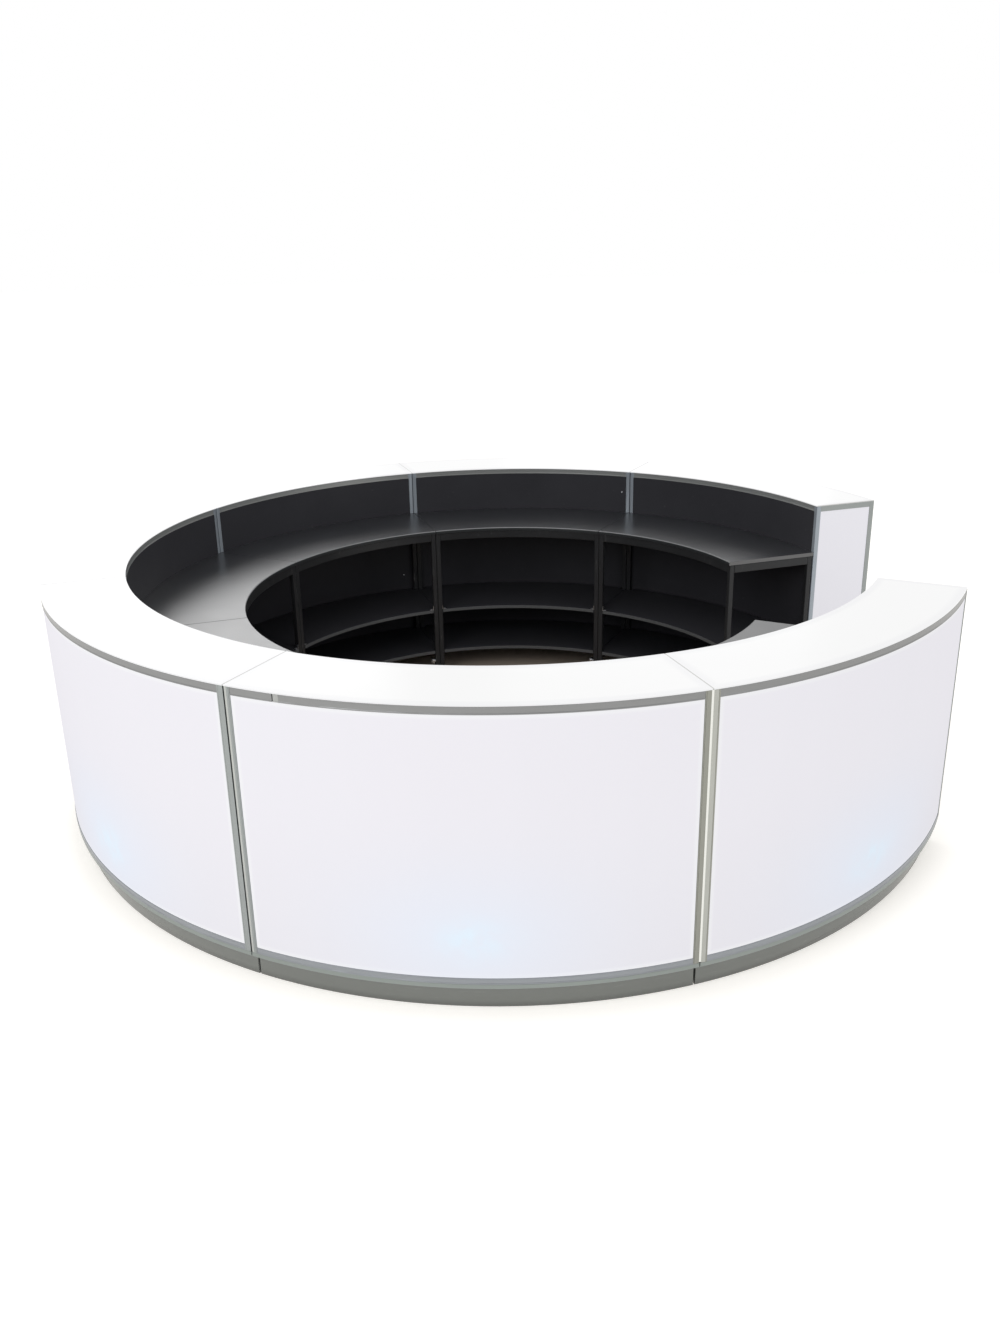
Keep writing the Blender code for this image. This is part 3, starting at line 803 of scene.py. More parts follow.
def front_bands_mesh(sizes, splice=None):
    """The two outer bands and the lower flange. A splice is the angle where the top band is cut in two."""
    shape = bmesh.new()
    limit = END_ANGLE - PROFILE / OUTER
    top_low = TRIM_HIGH.z - TOP_BAND
    top = band_outline(OUTER, -1, top_low, TRIM_HIGH.z, sizes)
    if splice is None:
        sweep(shape, top, -limit, limit, sizes.arc_steps)
    else:
        gap = SPLICE_HALF_GAP / OUTER
        sweep(shape, top, -limit, splice - gap, sizes.arc_steps // 8)
        sweep(shape, top, splice + gap, splice + SPLICE_PATCH, 1, finish=3)
        sweep(shape, top, splice + SPLICE_PATCH, limit, sizes.arc_steps)
    flange = TRIM_LOW.z + BOTTOM_BAND * FLANGE_SHARE
    bottom = band_outline(OUTER, -1, flange + CLEARANCE, TRIM_LOW.z + BOTTOM_BAND, sizes)
    sweep(shape, bottom, -limit, limit, sizes.arc_steps, finish=2)
    face = OUTER - FLANGE_SETBACK
    lower = [(face, TRIM_LOW.z), (face, flange - FLANGE_GROOVE / 2), (face - FLANGE_GROOVE, flange),
             (OUTER - PROFILE, flange), (OUTER - PROFILE, TRIM_LOW.z)]
    sweep(shape, lower, -END_ANGLE, END_ANGLE, sizes.arc_steps, finish=1)
    materials = ["anodised_band", "anodised_flange", "anodised_lower", "anodised_worn"]
    return finished_mesh("front_bands", shape, materials)


def back_bands_mesh(sizes):
    shape = bmesh.new()
    limit = END_ANGLE - PROFILE / OUTER
    for low, high in ((TRIM_HIGH.z - TOP_BAND, TRIM_HIGH.z), (TRIM_LOW.z, TRIM_LOW.z + BOTTOM_BAND)):
        sweep(shape, band_outline(INNER, 1, low, high, sizes), -limit, limit, sizes.arc_steps)
    return finished_mesh("back_bands", shape, ["anodised_inner"])


def post_outline(sizes):
    """A post's section as depth from its face and width from the joint, where the face falls back."""
    lip, channel, bevel = sizes.profile_lip, sizes.profile_channel, sizes.joint_bevel
    return [(BEVEL_DEPTH, 0), (sizes.post_slope * (1 - bevel / POST_CREST), bevel), (0, POST_CREST),
            (0, PROFILE - lip - channel * 2), (channel, PROFILE - lip - channel), (channel, PROFILE - lip),
            (0, PROFILE - lip + channel), (0, PROFILE), (PROFILE, PROFILE), (PROFILE, 0)]


def posts_mesh(sizes, face, inward, low, name, materials, free_side=0, bright=POST_CREST):
    """The two posts of one side of the light box, one at each end of the module.

    The first finish goes on the high end's post. The low end's post has the second, a painted highlight,
    up to the given width from the joint, apart from the bevel, and the third on the rest. The post on the
    free side, 1 or -1, has no slope.
    """
    shape = bmesh.new()
    for side in (1, -1):
        place = end_place(face, 0, low, side)
        section = rectangle(0, PROFILE, 0, PROFILE) if side == free_side else post_outline(sizes)
        outline = [(inward * depth, width) for depth, width in section]
        extrude(shape, outline, place, TRIM_HIGH.z - low)
    if len(materials) > 1:
        beside_bevel = sizes.joint_bevel * 0.7
        for post_face in shape.faces:
            centre = post_face.calc_center_median()
            into = centre.x * math.sin(END_ANGLE) + centre.y * math.cos(END_ANGLE)
            if into < PROFILE * 1.1:
                post_face.material_index = 1 if beside_bevel < into < bright else 2
    return finished_mesh(name, shape, materials)


def end_rails_mesh():
    shape = bmesh.new()
    reach = OUTER - INNER - 2 * PROFILE
    for side in (1, -1):
        for low, high in ((TRIM_HIGH.z - TOP_BAND, TRIM_HIGH.z), (TRIM_LOW.z, TRIM_LOW.z + BOTTOM_BAND)):
            place = lay_down(end_place(INNER + PROFILE, 0, low, side))
            extrude(shape, rectangle(0, PROFILE, 0, high - low), place, reach)
    return finished_mesh("end_rails", shape, ["anodised_post"])


def plinth_mesh(sizes):
    """Folded sheet: a tray plate with a skirt on each long side, closed at the ends."""
    shape = bmesh.new()
    outer, inner, sheet = PLINTH_OUTER, PLINTH_INNER, PLINTH_SHEET
    top, fold = PLINTH_HEIGHT, PLINTH_FOLD
    outline = [
        (inner, 0), (inner, top - fold), (inner + fold * 0.3, top - fold * 0.3), (inner + fold, top),
        (outer - fold, top), (outer - fold * 0.3, top - fold * 0.3), (outer, top - fold),
        (outer, fold), (outer - fold * 0.3, fold * 0.3), (outer - fold, 0), (outer - fold - sheet, 0),
        (outer - sheet, fold + sheet), (outer - sheet, top - sheet), (inner + sheet, top - sheet),
        (inner + sheet, 0),
    ]
    sweep(shape, outline, -PLINTH_ANGLE, PLINTH_ANGLE, sizes.arc_steps)
    for side in (1, -1):
        angles = sorted((side * PLINTH_ANGLE, side * (PLINTH_ANGLE - sheet / outer)))
        cheek = rectangle(inner + sheet, outer - sheet - fold, 0, top - sheet)
        sweep(shape, cheek, *angles, 1)
    return finished_mesh("plinth_skirt", shape, ["grey_plinth"])


def lamp_mesh():
    """The LED batten on the tray: a housing with a raised diffuser."""
    shape = bmesh.new()
    high = PLINTH_HIGH.z
    out = PLINTH_OUTER - LAMP_SETBACK
    half = LAMP_LENGTH / 2 / out
    housing = rectangle(out - LAMP_WIDTH, out, PLINTH_HEIGHT, high - LAMP_DOME)
    sweep(shape, housing, -half, half, 12)
    foot, shoulder = high - LAMP_DOME + 0.0002, high - 0.002
    dome = [(out - LAMP_WIDTH + 0.006, foot), (out - 0.006, foot), (out - 0.009, shoulder),
            (out - LAMP_WIDTH / 2, high), (out - LAMP_WIDTH + 0.009, shoulder)]
    sweep(shape, dome, -half * 0.97, half * 0.97, 12, finish=1)
    return finished_mesh("lamp_batten", shape, ["grey_plinth", "lamp_diffuser"])


def arc(radius, start, end, steps):
    return [(radius * math.cos(start + (end - start) * step / steps),
             radius * math.sin(start + (end - start) * step / steps)) for step in range(steps + 1)]


def notched_plan(steps):
    """A shelf seen from above, cut away round the frame's posts. Its first points are the staff's edge."""
    notch_front = TUBE_STAFF + NOTCH
    notch_rear = TUBE_REAR - NOTCH
    notch_angle = END_ANGLE - NOTCH / TUBE_STAFF
    plan = arc(TUBE_STAFF, -notch_angle, notch_angle, steps)
    for radius, angle in ((notch_front, notch_angle), (notch_front, END_ANGLE), (notch_rear, END_ANGLE)):
        plan.append((radius * math.cos(angle), radius * math.sin(angle)))
    plan.append((notch_rear * math.cos(notch_angle), notch_rear * math.sin(notch_angle)))
    plan += arc(BACK_FACE - CLEARANCE, notch_angle, -notch_angle, steps)
    for radius, angle in ((notch_rear, -notch_angle), (notch_rear, -END_ANGLE), (notch_front, -END_ANGLE)):
        plan.append((radius * math.cos(angle), radius * math.sin(angle)))
    plan.append((notch_front * math.cos(notch_angle), -notch_front * math.sin(notch_angle)))
    return plan


def band_staff_edge(shape, radius):
    """Gives the second finish to the upright faces along the staff's edge."""
    for face in shape.faces:
        centre = face.calc_center_median()
        if abs(face.normal.z) < 0.5 and math.hypot(centre.x, centre.y) < radius + 0.002:
            face.material_index = 1


def shelf_mesh(name, low, high, steps):
    shape = bmesh.new()
    extrude(shape, notched_plan(steps), Matrix.Translation((0, 0, low)), high - low)
    shape.normal_update()
    band_staff_edge(shape, TUBE_STAFF)
    return finished_mesh(name, shape, ["melamine_board", "worn_edge"])


def back_board_mesh(sizes):
    shape = bmesh.new()
    outline = rectangle(BACK_FACE, BACK_FACE + BACK_BOARD, FRONT_LOW.z, FRONT_HIGH.z)
    sweep(shape, outline, -BACK_ANGLE, BACK_ANGLE, sizes.arc_steps)
    return finished_mesh("back_board", shape, ["melamine_board"])


def worktop_mesh(sizes):
    shape = bmesh.new()
    back, arris = BACK_FACE - CLEARANCE, WORKTOP_HIGH.z - ARRIS
    outline = [(WORKTOP_STAFF, WORKTOP_LOW.z), (back, WORKTOP_LOW.z), (back, WORKTOP_HIGH.z),
               (WORKTOP_STAFF + ARRIS_FALL, WORKTOP_HIGH.z), (WORKTOP_STAFF, arris)]
    sweep(shape, outline, -END_ANGLE, END_ANGLE, sizes.arc_steps)
    shape.normal_update()
    band_staff_edge(shape, WORKTOP_STAFF + ARRIS_FALL)
    # Painted highlight: the arris faces take the third, much lighter finish
    for face in shape.faces:
        if face.material_index == 1 and face.calc_center_median().z > arris:
            face.material_index = 2
    return finished_mesh("worktop", shape, ["dark_laminate", "worktop_edge", "worktop_arris"])


def tube_frame_mesh(sizes):
    """Two end ladders and the curved rails between them."""
    shape = bmesh.new()
    base_rail = CABINET_LOW.z - CLEARANCE
    shelf_rail = SHELF_HEIGHT - BOARD - CLEARANCE
    square = rectangle(0, TUBE, 0, TUBE)
    run = TUBE_REAR - TUBE_STAFF - 2 * TUBE
    for side in (1, -1):
        for along in (TUBE_STAFF, TUBE_REAR - TUBE):
            extrude(shape, square, end_place(along, 0, FOOT_HEIGHT, side), TUBE_TOP - FOOT_HEIGHT)
        for top, deep in ((base_rail, TUBE), (shelf_rail, TUBE), (TUBE_TOP, APRON)):
            place = lay_down(end_place(TUBE_STAFF + TUBE, 0, top - deep, side))
            extrude(shape, rectangle(0, TUBE, 0, deep), place, run)
    for inner in (TUBE_STAFF, TUBE_REAR - TUBE):
        limit = END_ANGLE - (TUBE - 0.0004) / (inner + TUBE / 2)
        rail = rectangle(inner, inner + TUBE, TUBE_TOP - APRON, TUBE_TOP)
        sweep(shape, rail, -limit, limit, sizes.arc_steps)
    return finished_mesh("tube_frame", shape, ["coated_tube"])


def feet_mesh():
    """Moulded glides under the frame's posts."""
    shape = bmesh.new()
    wide = TUBE + FOOT_GROWTH
    for side in (1, -1):
        for along in (TUBE_STAFF, TUBE_REAR - TUBE):
            place = end_place(along, 0, 0, side)
            extrude(shape, rectangle(-FOOT_GROWTH, wide, 0.0002, wide), place, FOOT_HEIGHT)
    return finished_mesh("frame_feet", shape, ["black_moulding"])


def shelf_clips_mesh():
    """Small angles that tie the mid shelf to the front posts, each with a screw."""
    shape = bmesh.new()
    for side in (1, -1):
        place = end_place(TUBE_STAFF + 0.003, TUBE + CLEARANCE, SHELF_HEIGHT, side)
        extrude(shape, rectangle(0, CLIP_WIDTH, 0, CLIP_SHEET), place, CLIP_LEG)
        low_leg = place @ Matrix.Translation((0, 0, 0.0002))
        extrude(shape, rectangle(0, CLIP_WIDTH, CLIP_SHEET, CLIP_LEG), low_leg, CLIP_SHEET)
        head = place @ Matrix.Translation((CLIP_LEG * 0.4, CLIP_LEG * 0.6, CLIP_SHEET + 0.0003))
        screw_head(shape, head, 0.0035, 0.0018)
    return finished_mesh("shelf_clips", shape, ["plated_zinc"])


def screw_head(shape, place, radius, height):
    """A low domed head with a dip in its middle."""
    shares = ((0, 1), (0.45, 1), (0.85, 0.78), (1, 0.45), (0.55, 0.30))
    turn_round(shape, [(height * up, radius * out, 0) for up, out in shares], place, 20)


def board_screw_mesh(height, inset):
    """Head of a screw that holds the back board, on its staff side."""
    shape = bmesh.new()
    turn = Matrix.Rotation(inset / INNER - END_ANGLE, 4, "Z")
    place = turn @ Matrix.Translation((BACK_FACE - 0.0002, 0, height))
    screw_head(shape, place @ Matrix.Rotation(-math.pi / 2, 4, "Y"), 0.0045, 0.002)
    return finished_mesh("board_screws", shape, ["plated_zinc"])


def joining_place(number, radius, height):
    """A frame in the joint after a module: X out from the ring's axis, and Z square to the joint."""
    turn = Matrix.Rotation(module_turn(number) - MODULE_ANGLE / 2, 4, "Z")
    return turn @ Matrix.Translation((radius, 0, height)) @ Matrix.Rotation(-math.pi / 2, 4, "X")


def hand_screw_mesh(sizes):
    """A hand screw along +Z: threaded shank, boss, and a knob with five soft lobes and a dished face."""
    tip = SHANK_SETBACK - POST_FACE
    seat = POST_FACE + CLEARANCE
    knob = seat + BOSS_LENGTH
    end = knob + KNOB_LENGTH
    grip = sizes.knob_radius
    stations = [(tip, 0.0025, 0), (tip + 0.0015, 0.0039, 0)]
    for index in range(int((POST_FACE - SHANK_SETBACK) * 2 / THREAD_PITCH)):
        start = tip + 0.002 + index * THREAD_PITCH
        stations += [(start, THREAD_ROOT, 0), (start + THREAD_PITCH * 0.5, SHANK_RADIUS, 0)]
    stations += [(seat, 0.0036, 0), (seat, 0.0084, 0), (seat + 0.0006, 0.009, 0), (knob - 0.001, 0.0086, 0)]
    for lift, share in ((0.0, 0.80), (0.0006, 0.92), (0.0022, 1.0), (0.0118, 1.0), (0.0134, 0.93),
                        (KNOB_LENGTH, 0.82)):
        stations.append((knob + lift, grip * share, 0.0032 * share))
    stations += [(end - 0.0004, grip * 0.62, 0.0008), (end - 0.0022, grip * 0.50, 0),
                 (end - 0.0022, grip * 0.2, 0)]
    shape = bmesh.new()
    turn_round(shape, stations, Matrix.Identity(4), 60, KNOB_LOBES)
    return finished_mesh("hand_screw", shape, ["plated_zinc"])


def rear_link_mesh():
    """A plate across the feet of two rear posts, with a hexagon bolt in each. X runs along the joint."""
    shape = bmesh.new()
    extrude(shape, rectangle(-LINK_SHEET, 0, -LINK_WIDTH / 2, LINK_WIDTH / 2),
            Matrix.Translation((0, 0, -LINK_HALF)), 2 * LINK_HALF)
    for side in (-1, 1):
        face = Matrix.Translation((-LINK_SHEET, 0, side * LINK_HALF * 0.62))
        face = face @ Matrix.Rotation(-math.pi / 2, 4, "Y")
        turn_round(shape, [(0, 0.0072, 0), (0.0012, 0.0072, 0)], face, 24)
        turn_round(shape, [(0.0012, 0.0062, 0), (0.0050, 0.0062, 0), (0.0056, 0.0054, 0)], face, 6)
    return finished_mesh("rear_link", shape, ["plated_zinc"])


def end_panel_mesh(side):
    """The flat opal sheet that closes a free end. side is 1 or -1, for the module's high or low end."""
    shape = bmesh.new()
    width = OUTER - INNER - 2 * PROFILE - 2 * CLEARANCE
    place = lay_down(end_place(INNER + PROFILE + CLEARANCE, PANEL_INSET, FRONT_LOW.z, side))
    extrude(shape, rectangle(0, OPAL_SHEET, 0, FRONT_HIGH.z - FRONT_LOW.z), place, width)
    return finished_mesh("opal_end", shape, ["lit_end"])


def joint_light_leak_mesh():
    """A glowing bead in the joint between two outer posts, in the lower module's frame: painted light
    leaking through the gap.
    """
    shape = bmesh.new()
    gap = LEAK_GAP
    low = TRIM_LOW.z + BOTTOM_BAND * FLANGE_SHARE + 0.004
    place = end_place(OUTER, -CLEARANCE - gap / 2, low, -1)
    half = gap / 2 + LEAK_SPREAD
    outline = [(-LEAK_ROOT, -gap / 2), (-BEVEL_DEPTH, -gap / 2), (-0.0022, gap / 4 - half),
               (-0.0015, -half), (-0.0008, -half * 0.6), (-0.0005, 0), (-0.0008, half * 0.6),
               (-0.0015, half), (-0.0022, half - gap / 4), (-BEVEL_DEPTH, gap / 2), (-LEAK_ROOT, gap / 2)]
    extrude(shape, outline, place, TRIM_HIGH.z - 0.001 - low)
    return finished_mesh("joint_seal", shape, ["ivory_foam"])


class PieceOperator:
    """What every piece's operator shares."""

    bl_options = {"REGISTER", "UNDO"}

    def execute(self, context):
        self.build(context.scene.bar_sizes)
        return {"FINISHED"}


class BARCOUNTER_OT_opal_tops(PieceOperator, bpy.types.Operator):
    """Build the opal tops, lit from below"""

    bl_idname = "barcounter.opal_tops"
    bl_label = "Opal tops"

    def build(self, sizes):
        mesh = opal_top_mesh(sizes.arc_steps)
        add_to_modules("opal_top", mesh, "top_panel", sizes.edge_round)


class BARCOUNTER_OT_opal_fronts(PieceOperator, bpy.types.Operator):
    """Build the curved opal fronts with the lamps' glow"""

    bl_idname = "barcounter.opal_fronts"
    bl_label = "Opal fronts"

    def build(self, sizes):
        mesh = opal_front_mesh(sizes.arc_steps)
        add_to_modules("opal_front", mesh, "front_panel", sizes.edge_round)


class BARCOUNTER_OT_light_box_frames(PieceOperator, bpy.types.Operator):
    """Build the aluminium bands, posts and rails of the light boxes"""

    bl_idname = "barcounter.light_box_frames"
    bl_label = "Light box frames"

    def build(self, sizes):
        slot, edge = "aluminium_profile", sizes.edge_round
        whole = [number for number in range(1, MODULES + 1) if number != SPLICED_MODULE]
        add_to_modules("front_bands", front_bands_mesh(sizes), "trim_frame", edge, whole)
        spliced = front_bands_mesh(sizes, SPLICE_ANGLE)
        add_to_modules("front_bands", spliced, "trim_frame", edge, [SPLICED_MODULE])
        add_to_modules("back_bands", back_bands_mesh(sizes), "trim_frame", edge)
        foot = TRIM_LOW.z + BOTTOM_BAND * FLANGE_SHARE + CLEARANCE
        # The second finish in each list is a painted highlight on the post face that looks left at the joint
        cool = ["anodised_post", "anodised_bright", "anodised_post"]
        warm_high = ["anodised_warm", "anodised_bright", "anodised_post"]
        warm_low = ["anodised_post", "anodised_warm_bright", "anodised_warm"]
        for numbers, materials, free_side, bright in (
                ([1], warm_low, 1, BROAD_BRIGHT), ([2], warm_high, 0, POST_CREST),
                (range(3, MODULES), cool, 0, POST_CREST), ([MODULES], ["anodised_post"], -1, POST_CREST)):
            front_posts = posts_mesh(sizes, OUTER, -1, foot, "front_posts", materials, free_side, bright)
            add_to_modules("front_posts", front_posts, "trim_frame", edge, numbers)
        back_posts = posts_mesh(sizes, INNER, 1, TRIM_LOW.z, "back_posts", ["anodised_inner_post"])
        add_to_modules("back_posts", back_posts, "trim_frame", edge)
        add_to_modules("end_rails", end_rails_mesh(), "trim_frame", edge)


class BARCOUNTER_OT_plinths(PieceOperator, bpy.types.Operator):
    """Build the folded plinths and the lamps on their trays"""

    bl_idname = "barcounter.plinths"
    bl_label = "Plinths and lamps"

    def build(self, sizes):
        add_to_modules("plinth_skirt", plinth_mesh(sizes), "plinth", 0.0004)
        add_to_modules("lamp_batten", lamp_mesh(), "plinth", 0.0004)


class BARCOUNTER_OT_cabinets(PieceOperator, bpy.types.Operator):
    """Build the black back boards and shelves"""

    bl_idname = "barcounter.cabinets"
    bl_label = "Cabinet boards"

    def build(self, sizes):
        slot, edge = "black_board", sizes.board_round
        add_to_modules("back_board", back_board_mesh(sizes), "carcass", edge)
        shelf = shelf_mesh("mid_shelf", SHELF_HEIGHT - BOARD, SHELF_HEIGHT, sizes.arc_steps)
        add_to_modules("mid_shelf", shelf, "carcass", edge)
        base = shelf_mesh("base_board", CABINET_LOW.z, BASE_TOP, sizes.arc_steps)
        add_to_modules("base_board", base, "carcass", edge)
        add_to_modules("shelf_clips", shelf_clips_mesh(), None, 0.0003)


class BARCOUNTER_OT_worktops(PieceOperator, bpy.types.Operator):
    """Build the black worktops with their banded edge"""

    bl_idname = "barcounter.worktops"
    bl_label = "Worktops"

    def build(self, sizes):
        mesh = worktop_mesh(sizes)
        add_to_modules("worktop_board", mesh, "worktop", sizes.board_round)


class BARCOUNTER_OT_tube_frames(PieceOperator, bpy.types.Operator):
    """Build the tube frames and their feet"""

    bl_idname = "barcounter.tube_frames"
    bl_label = "Tube frames"

    def build(self, sizes):
        add_to_modules("tube_frame", tube_frame_mesh(sizes), "shelf_frame", sizes.tube_round)
        add_to_modules("frame_feet", feet_mesh(), "shelf_frame", 0.0008)


class BARCOUNTER_OT_fasteners(PieceOperator, bpy.types.Operator):
    """Build the hand screws, the rear links and the bare screws of the back boards"""

    bl_idname = "barcounter.fasteners"
    bl_label = "Hand screws and links"

    def build(self, sizes):
        screw = hand_screw_mesh(sizes)
        link = rear_link_mesh()
        post_centre = TUBE_STAFF + TUBE / 2
        for number in range(1, MODULES):
            name = f"joining_screw_{number}"
            place = joining_place(number, post_centre, SCREW_HEIGHT)
            add_piece(f"hand_screw_{number}", screw, [name], place=place, body=name)
            place = joining_place(number, TUBE_REAR - TUBE - 0.0004, LINK_LIFT)
            add_piece(f"rear_link_{number}", link, [], place=place, edge=0.0004)
        for number, (height, inset) in BARE_SCREWS.items():
            mesh = board_screw_mesh(height, inset)
            add_to_modules("board_screw", mesh, None, numbers=[number])


class BARCOUNTER_OT_free_ends(PieceOperator, bpy.types.Operator):
    """Build the end panels and the glowing strip, painted light leaking through a joint"""

    bl_idname = "barcounter.free_ends"
    bl_label = "End panels and seal"

    def build(self, sizes):
        for name, number, side in (("first", 1, 1), ("last", MODULES, -1)):
            add_piece(f"opal_end_{name}", end_panel_mesh(side), [f"end_panel_{name}"],
                      module_turn(number), edge=sizes.edge_round)
        add_to_modules("joint_seal", joint_light_leak_mesh(), None, numbers=[LEAKING_MODULE])


def supply_frame():
    """A frame in the supply's middle: X towards the staff, Y across and Z up."""
    low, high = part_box("power_supply")
    middle = (low + high) / 2
    return Matrix.Translation(middle) @ Matrix.Rotation(math.atan2(middle.y, middle.x) + math.pi, 4, "Z")


def supply_mesh():
    """The housing as blocks round the switch's pocket, with raised ribs on its face."""
    shape = bmesh.new()
    half_wide, half_deep, half_high = SUPPLY_WIDTH / 2, SUPPLY_DEPTH / 2, SUPPLY_HEIGHT / 2
    pocket_half = ROCKER_LENGTH / 2 + ROCKER_ROOM
    pocket_wide = ROCKER_WIDTH / 2 + CLEARANCE
    pocket_deep = half_deep - ROCKER_BACK - ROCKER_ROOM
    low, high = SWITCH_LIFT - pocket_half, SWITCH_LIFT + pocket_half
    blocks = [
        (-half_deep, pocket_deep, -half_wide, half_wide, -half_high, half_high),
        (pocket_deep, half_deep, -half_wide, -pocket_wide, low, high),
        (pocket_deep, half_deep, pocket_wide, half_wide, low, high),
        (pocket_deep, half_deep, -half_wide, half_wide, -half_high, low),
        (pocket_deep, half_deep, -half_wide, half_wide, high, half_high),
    ]
    for near, far, left, right, bottom, top in blocks:
        extrude(shape, rectangle(near, far, left, right), Matrix.Translation((0, 0, bottom)), top - bottom)
    bmesh.ops.remove_doubles(shape, verts=shape.verts, dist=0.00001)
    for index in range(SUPPLY_RIBS):
        place = Matrix.Translation((0, 0, RIB_LOWEST + index * RIB_PITCH))
        extrude(shape, rectangle(half_deep - 0.0002, half_deep + 0.0012, -0.040, 0.040), place, 0.0035)
    return finished_mesh("supply_housing", shape, ["black_moulding"])


def supply_screws_mesh():
    """The four screws of the housing's face."""
    shape = bmesh.new()
    turn = Matrix.Rotation(math.pi / 2, 4, "Y")
    for across in (-0.047, 0.047):
        for up in (-0.072, 0.072):
            screw_head(shape, Matrix.Translation((SUPPLY_DEPTH / 2, across, up)) @ turn, 0.003, 0.0016)
    return finished_mesh("supply_screws", shape, ["plated_zinc"])


class BARCOUNTER_OT_power_unit(PieceOperator, bpy.types.Operator):
    """Build the power supply, its mains socket and its rocker switch"""

    bl_idname = "barcounter.power_unit"
    bl_label = "Power unit"

    def build(self, sizes):
        place = supply_frame()
        mesh = supply_mesh()
        add_piece("supply_housing", mesh, ["power_supply"], place=place, edge=0.0003)
        add_piece("supply_screws", supply_screws_mesh(), [], place=place)

        low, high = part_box("mains_inlet")
        centre = (low + high) / 2
        place = Matrix.Translation((centre.x, centre.y, low.z)) @ place.to_3x3().to_4x4()
        socket = self.socket_mesh(high.z - low.z)
        add_piece("mains_socket", socket, ["mains_inlet"], place=place, edge=0.0003)
        add_piece("socket_pins", self.pins_mesh(), [], place=place, edge=0.0003)

        switch = frame["joints"][-1]
        pivot = Vector(switch["pos_m"])
        turn = Matrix.Rotation(math.atan2(pivot.y, pivot.x) + math.pi, 4, "Z")
        tilt = Matrix.Rotation(-ROCKER_TILT, 4, "Y")
        add_piece("switch_rocker", self.rocker_mesh(), ["power_switch"],
                  place=Matrix.Translation(pivot) @ turn @ tilt, body="power_switch", edge=0.0004)

    def socket_mesh(self, height):
        """A shell that opens downwards, with its mouth at Z = 0."""
        shape = bmesh.new()
        deep, wide, wall = SOCKET_DEPTH / 2, SOCKET_WIDTH / 2, SOCKET_WALL
        extrude(shape, rectangle(-deep, deep, -wide, wide), Matrix.Translation((0, 0, height - wall)), wall)
        for near, far, left, right in ((-deep, -deep + wall, -wide, wide), (deep - wall, deep, -wide, wide),
                                       (-deep + wall, deep - wall, -wide, -wide + wall),
                                       (-deep + wall, deep - wall, wide - wall, wide)):
            extrude(shape, rectangle(near, far, left, right), Matrix.Identity(4), height - wall)
        return finished_mesh("mains_socket", shape, ["black_moulding"])

    def pins_mesh(self):
        """The socket's three pins."""
        shape = bmesh.new()
        for across, out in ((-0.007, 0.003), (0.007, 0.003), (0.0, -0.004)):
            place = Matrix.Translation((out, across, 0.006))
            extrude(shape, rectangle(-0.001, 0.001, -0.002, 0.002), place, PIN_LENGTH)
        return finished_mesh("socket_pins", shape, ["plated_zinc"])

    def rocker_mesh(self):
        """A dished rocker with X out of the housing and its pivot at the origin."""
        shape = bmesh.new()
        half = ROCKER_LENGTH / 2
        outline = [(ROCKER_PROUD, half)]
        for step in range(1, 8):
            share = 1 - step / 4
            outline.append((ROCKER_PROUD * (0.5 + 0.5 * abs(share) ** 1.5), half * share))
        outline += [(ROCKER_PROUD, -half), (-ROCKER_BACK / 3, -half), (-ROCKER_BACK, -half / 3),
                    (-ROCKER_BACK, half / 3), (-ROCKER_BACK / 3, half)]
        sideways = Matrix(((1, 0, 0, 0), (0, 0, 1, -ROCKER_WIDTH / 2), (0, 1, 0, 0), (0, 0, 0, 1)))
        extrude(shape, outline, sideways, ROCKER_WIDTH)
        return finished_mesh("switch_rocker", shape, ["grey_moulding"])


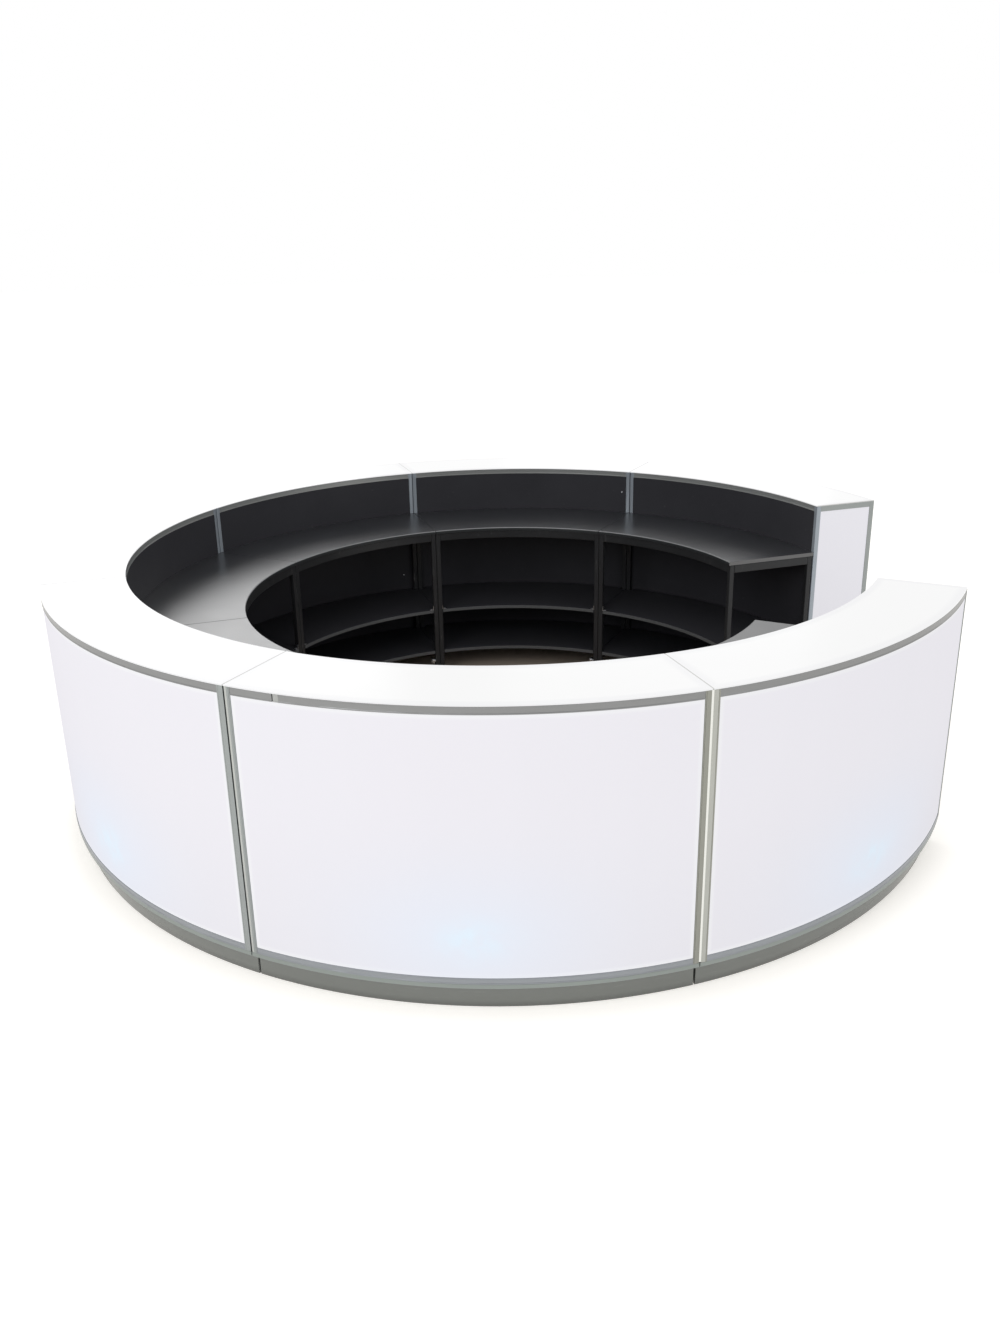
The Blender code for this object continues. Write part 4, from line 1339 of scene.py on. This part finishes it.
class BARCOUNTER_OT_stage(bpy.types.Operator):
    """Set the pale floor, the even light, the softboxes and the camera"""

    bl_idname = "barcounter.stage"
    bl_label = "Stage"
    bl_options = {"REGISTER", "UNDO"}

    def execute(self, context):
        stage = context.scene.bar_stage
        self.floor()
        self.world(context.scene, stage)
        self.softboxes(stage)
        self.camera(context.scene, stage)
        context.scene.view_settings.view_transform = "Standard"
        return {"FINISHED"}

    def floor(self):
        shape = bmesh.new()
        bmesh.ops.create_circle(shape, cap_ends=True, segments=96, radius=FLOOR_REACH)
        mesh = bpy.data.meshes.new("floor")
        shape.to_mesh(mesh)
        shape.free()
        finish = Finish("pale_floor", 0.9, Specular_IOR_Level=0.0)
        radius = finish.polar()[0]
        path = finish.node("ShaderNodeLightPath").socket.node
        seen = Value(finish, path.outputs["Is Camera Ray"])
        for label in ("Is Glossy Ray", "Is Transmission Ray"):
            seen = seen.maths("MAXIMUM", Value(finish, path.outputs[label]))
        outside = finish.smooth(radius, RING_HOLE - 0.1, RING_HOLE + 0.1)
        finish.feed("Emission Color", finish.mix(seen * outside, (0.0, 0.0, 0.0), FLOOR_SHADOW_TINT))
        finish.shader.inputs["Emission Strength"].default_value = FLOOR_OWN_LIGHT
        # Painted shade: inside the ring the floor's colour is darker, as well as browner
        finish.feed("Base Color", finish.mix(outside, FLOOR_INSIDE_SHADED, FLOOR_TONE))
        mesh.materials.append(finish.material)
        floor = bpy.data.objects.new("floor", mesh)
        bpy.context.scene.collection.objects.link(floor)

    def world(self, scene, stage):
        """White where it is seen, dimmer where it is mirrored, and a gentler even light elsewhere."""
        world = bpy.data.worlds.new("studio")
        scene.world = world
        world.use_nodes = True
        nodes, links = world.node_tree.nodes, world.node_tree.links
        background = nodes["Background"]
        background.inputs["Color"].default_value = (1.0, 1.0, 1.0, 1.0)
        path = nodes.new("ShaderNodeLightPath")
        strength = None
        for label, level in (("Is Glossy Ray", stage.mirrored), ("Is Transmission Ray", 1.0),
                             ("Is Camera Ray", 1.0)):
            step = nodes.new("ShaderNodeMapRange")
            links.new(path.outputs[label], step.inputs["Value"])
            step.inputs["To Min"].default_value = stage.fill
            step.inputs["To Max"].default_value = level
            if strength:
                links.new(strength, step.inputs["To Min"])
            strength = step.outputs["Result"]
        links.new(strength, background.inputs["Strength"])

    def softboxes(self, stage):
        """Large soft lamps round the ring."""
        for name, turn, reach, height, width, share in SOFTBOXES:
            data = bpy.data.lights.new(name, "AREA")
            data.shape = "SQUARE"
            data.size = width
            data.energy = stage.softbox * share
            lamp = bpy.data.objects.new(name, data)
            bpy.context.scene.collection.objects.link(lamp)
            angle = stage.azimuth + math.radians(turn)
            lamp.location = (reach * math.sin(angle), -reach * math.cos(angle), height)
            lamp.rotation_euler = (SOFTBOX_AIM - lamp.location).to_track_quat("-Z", "Y").to_euler()

    def camera(self, scene, stage):
        data = bpy.data.cameras.new("camera")
        data.lens = stage.lens
        data.sensor_width = PICTURE_LONG_SIDE
        data.shift_x, data.shift_y = LENS_SHIFT
        data.clip_end = FARTHEST_SEEN
        camera = bpy.data.objects.new("camera", data)
        scene.collection.objects.link(camera)
        camera.matrix_world = (
            Matrix.Rotation(stage.azimuth, 4, "Z")
            @ Matrix.Translation((0, -stage.distance, stage.height))
            @ Matrix.Rotation(stage.yaw, 4, "Z")
            @ Matrix.Rotation(math.pi / 2 - stage.tilt, 4, "X")
            @ Matrix.Rotation(stage.roll, 4, "Z")
        )
        scene.camera = camera


OPERATORS = (
    BARCOUNTER_OT_stage,
    BARCOUNTER_OT_opal_tops,
    BARCOUNTER_OT_opal_fronts,
    BARCOUNTER_OT_light_box_frames,
    BARCOUNTER_OT_plinths,
    BARCOUNTER_OT_cabinets,
    BARCOUNTER_OT_worktops,
    BARCOUNTER_OT_tube_frames,
    BARCOUNTER_OT_fasteners,
    BARCOUNTER_OT_free_ends,
    BARCOUNTER_OT_power_unit,
)


class BARCOUNTER_PT_panel(bpy.types.Panel):
    """Sizes, colours and the build buttons"""

    bl_label = "Bar counter"
    bl_idname = "BARCOUNTER_PT_panel"
    bl_space_type = "VIEW_3D"
    bl_region_type = "UI"
    bl_category = "Bar counter"

    def draw(self, context):
        for heading, group in (("Sizes", context.scene.bar_sizes), ("Colours", context.scene.bar_colours),
                               ("Stage", context.scene.bar_stage)):
            box = self.layout.box()
            box.label(text=heading)
            for label in group.__annotations__:
                box.prop(group, label)
        for operator in OPERATORS:
            self.layout.operator(operator.bl_idname)


CLASSES = (BarCounterSizes, BarCounterColours, BarCounterStage, *OPERATORS, BARCOUNTER_PT_panel)


def register():
    for made in CLASSES:
        bpy.utils.register_class(made)
    bpy.types.Scene.bar_sizes = bpy.props.PointerProperty(type=BarCounterSizes)
    bpy.types.Scene.bar_colours = bpy.props.PointerProperty(type=BarCounterColours)
    bpy.types.Scene.bar_stage = bpy.props.PointerProperty(type=BarCounterStage)


def unregister():
    for name in ("bar_sizes", "bar_colours", "bar_stage"):
        delattr(bpy.types.Scene, name)
    for made in reversed(CLASSES):
        bpy.utils.unregister_class(made)


def main():
    register()
    for operator in OPERATORS:
        group, name = operator.bl_idname.split(".")
        getattr(getattr(bpy.ops, group), name)()


if __name__ == "__main__":
    main()
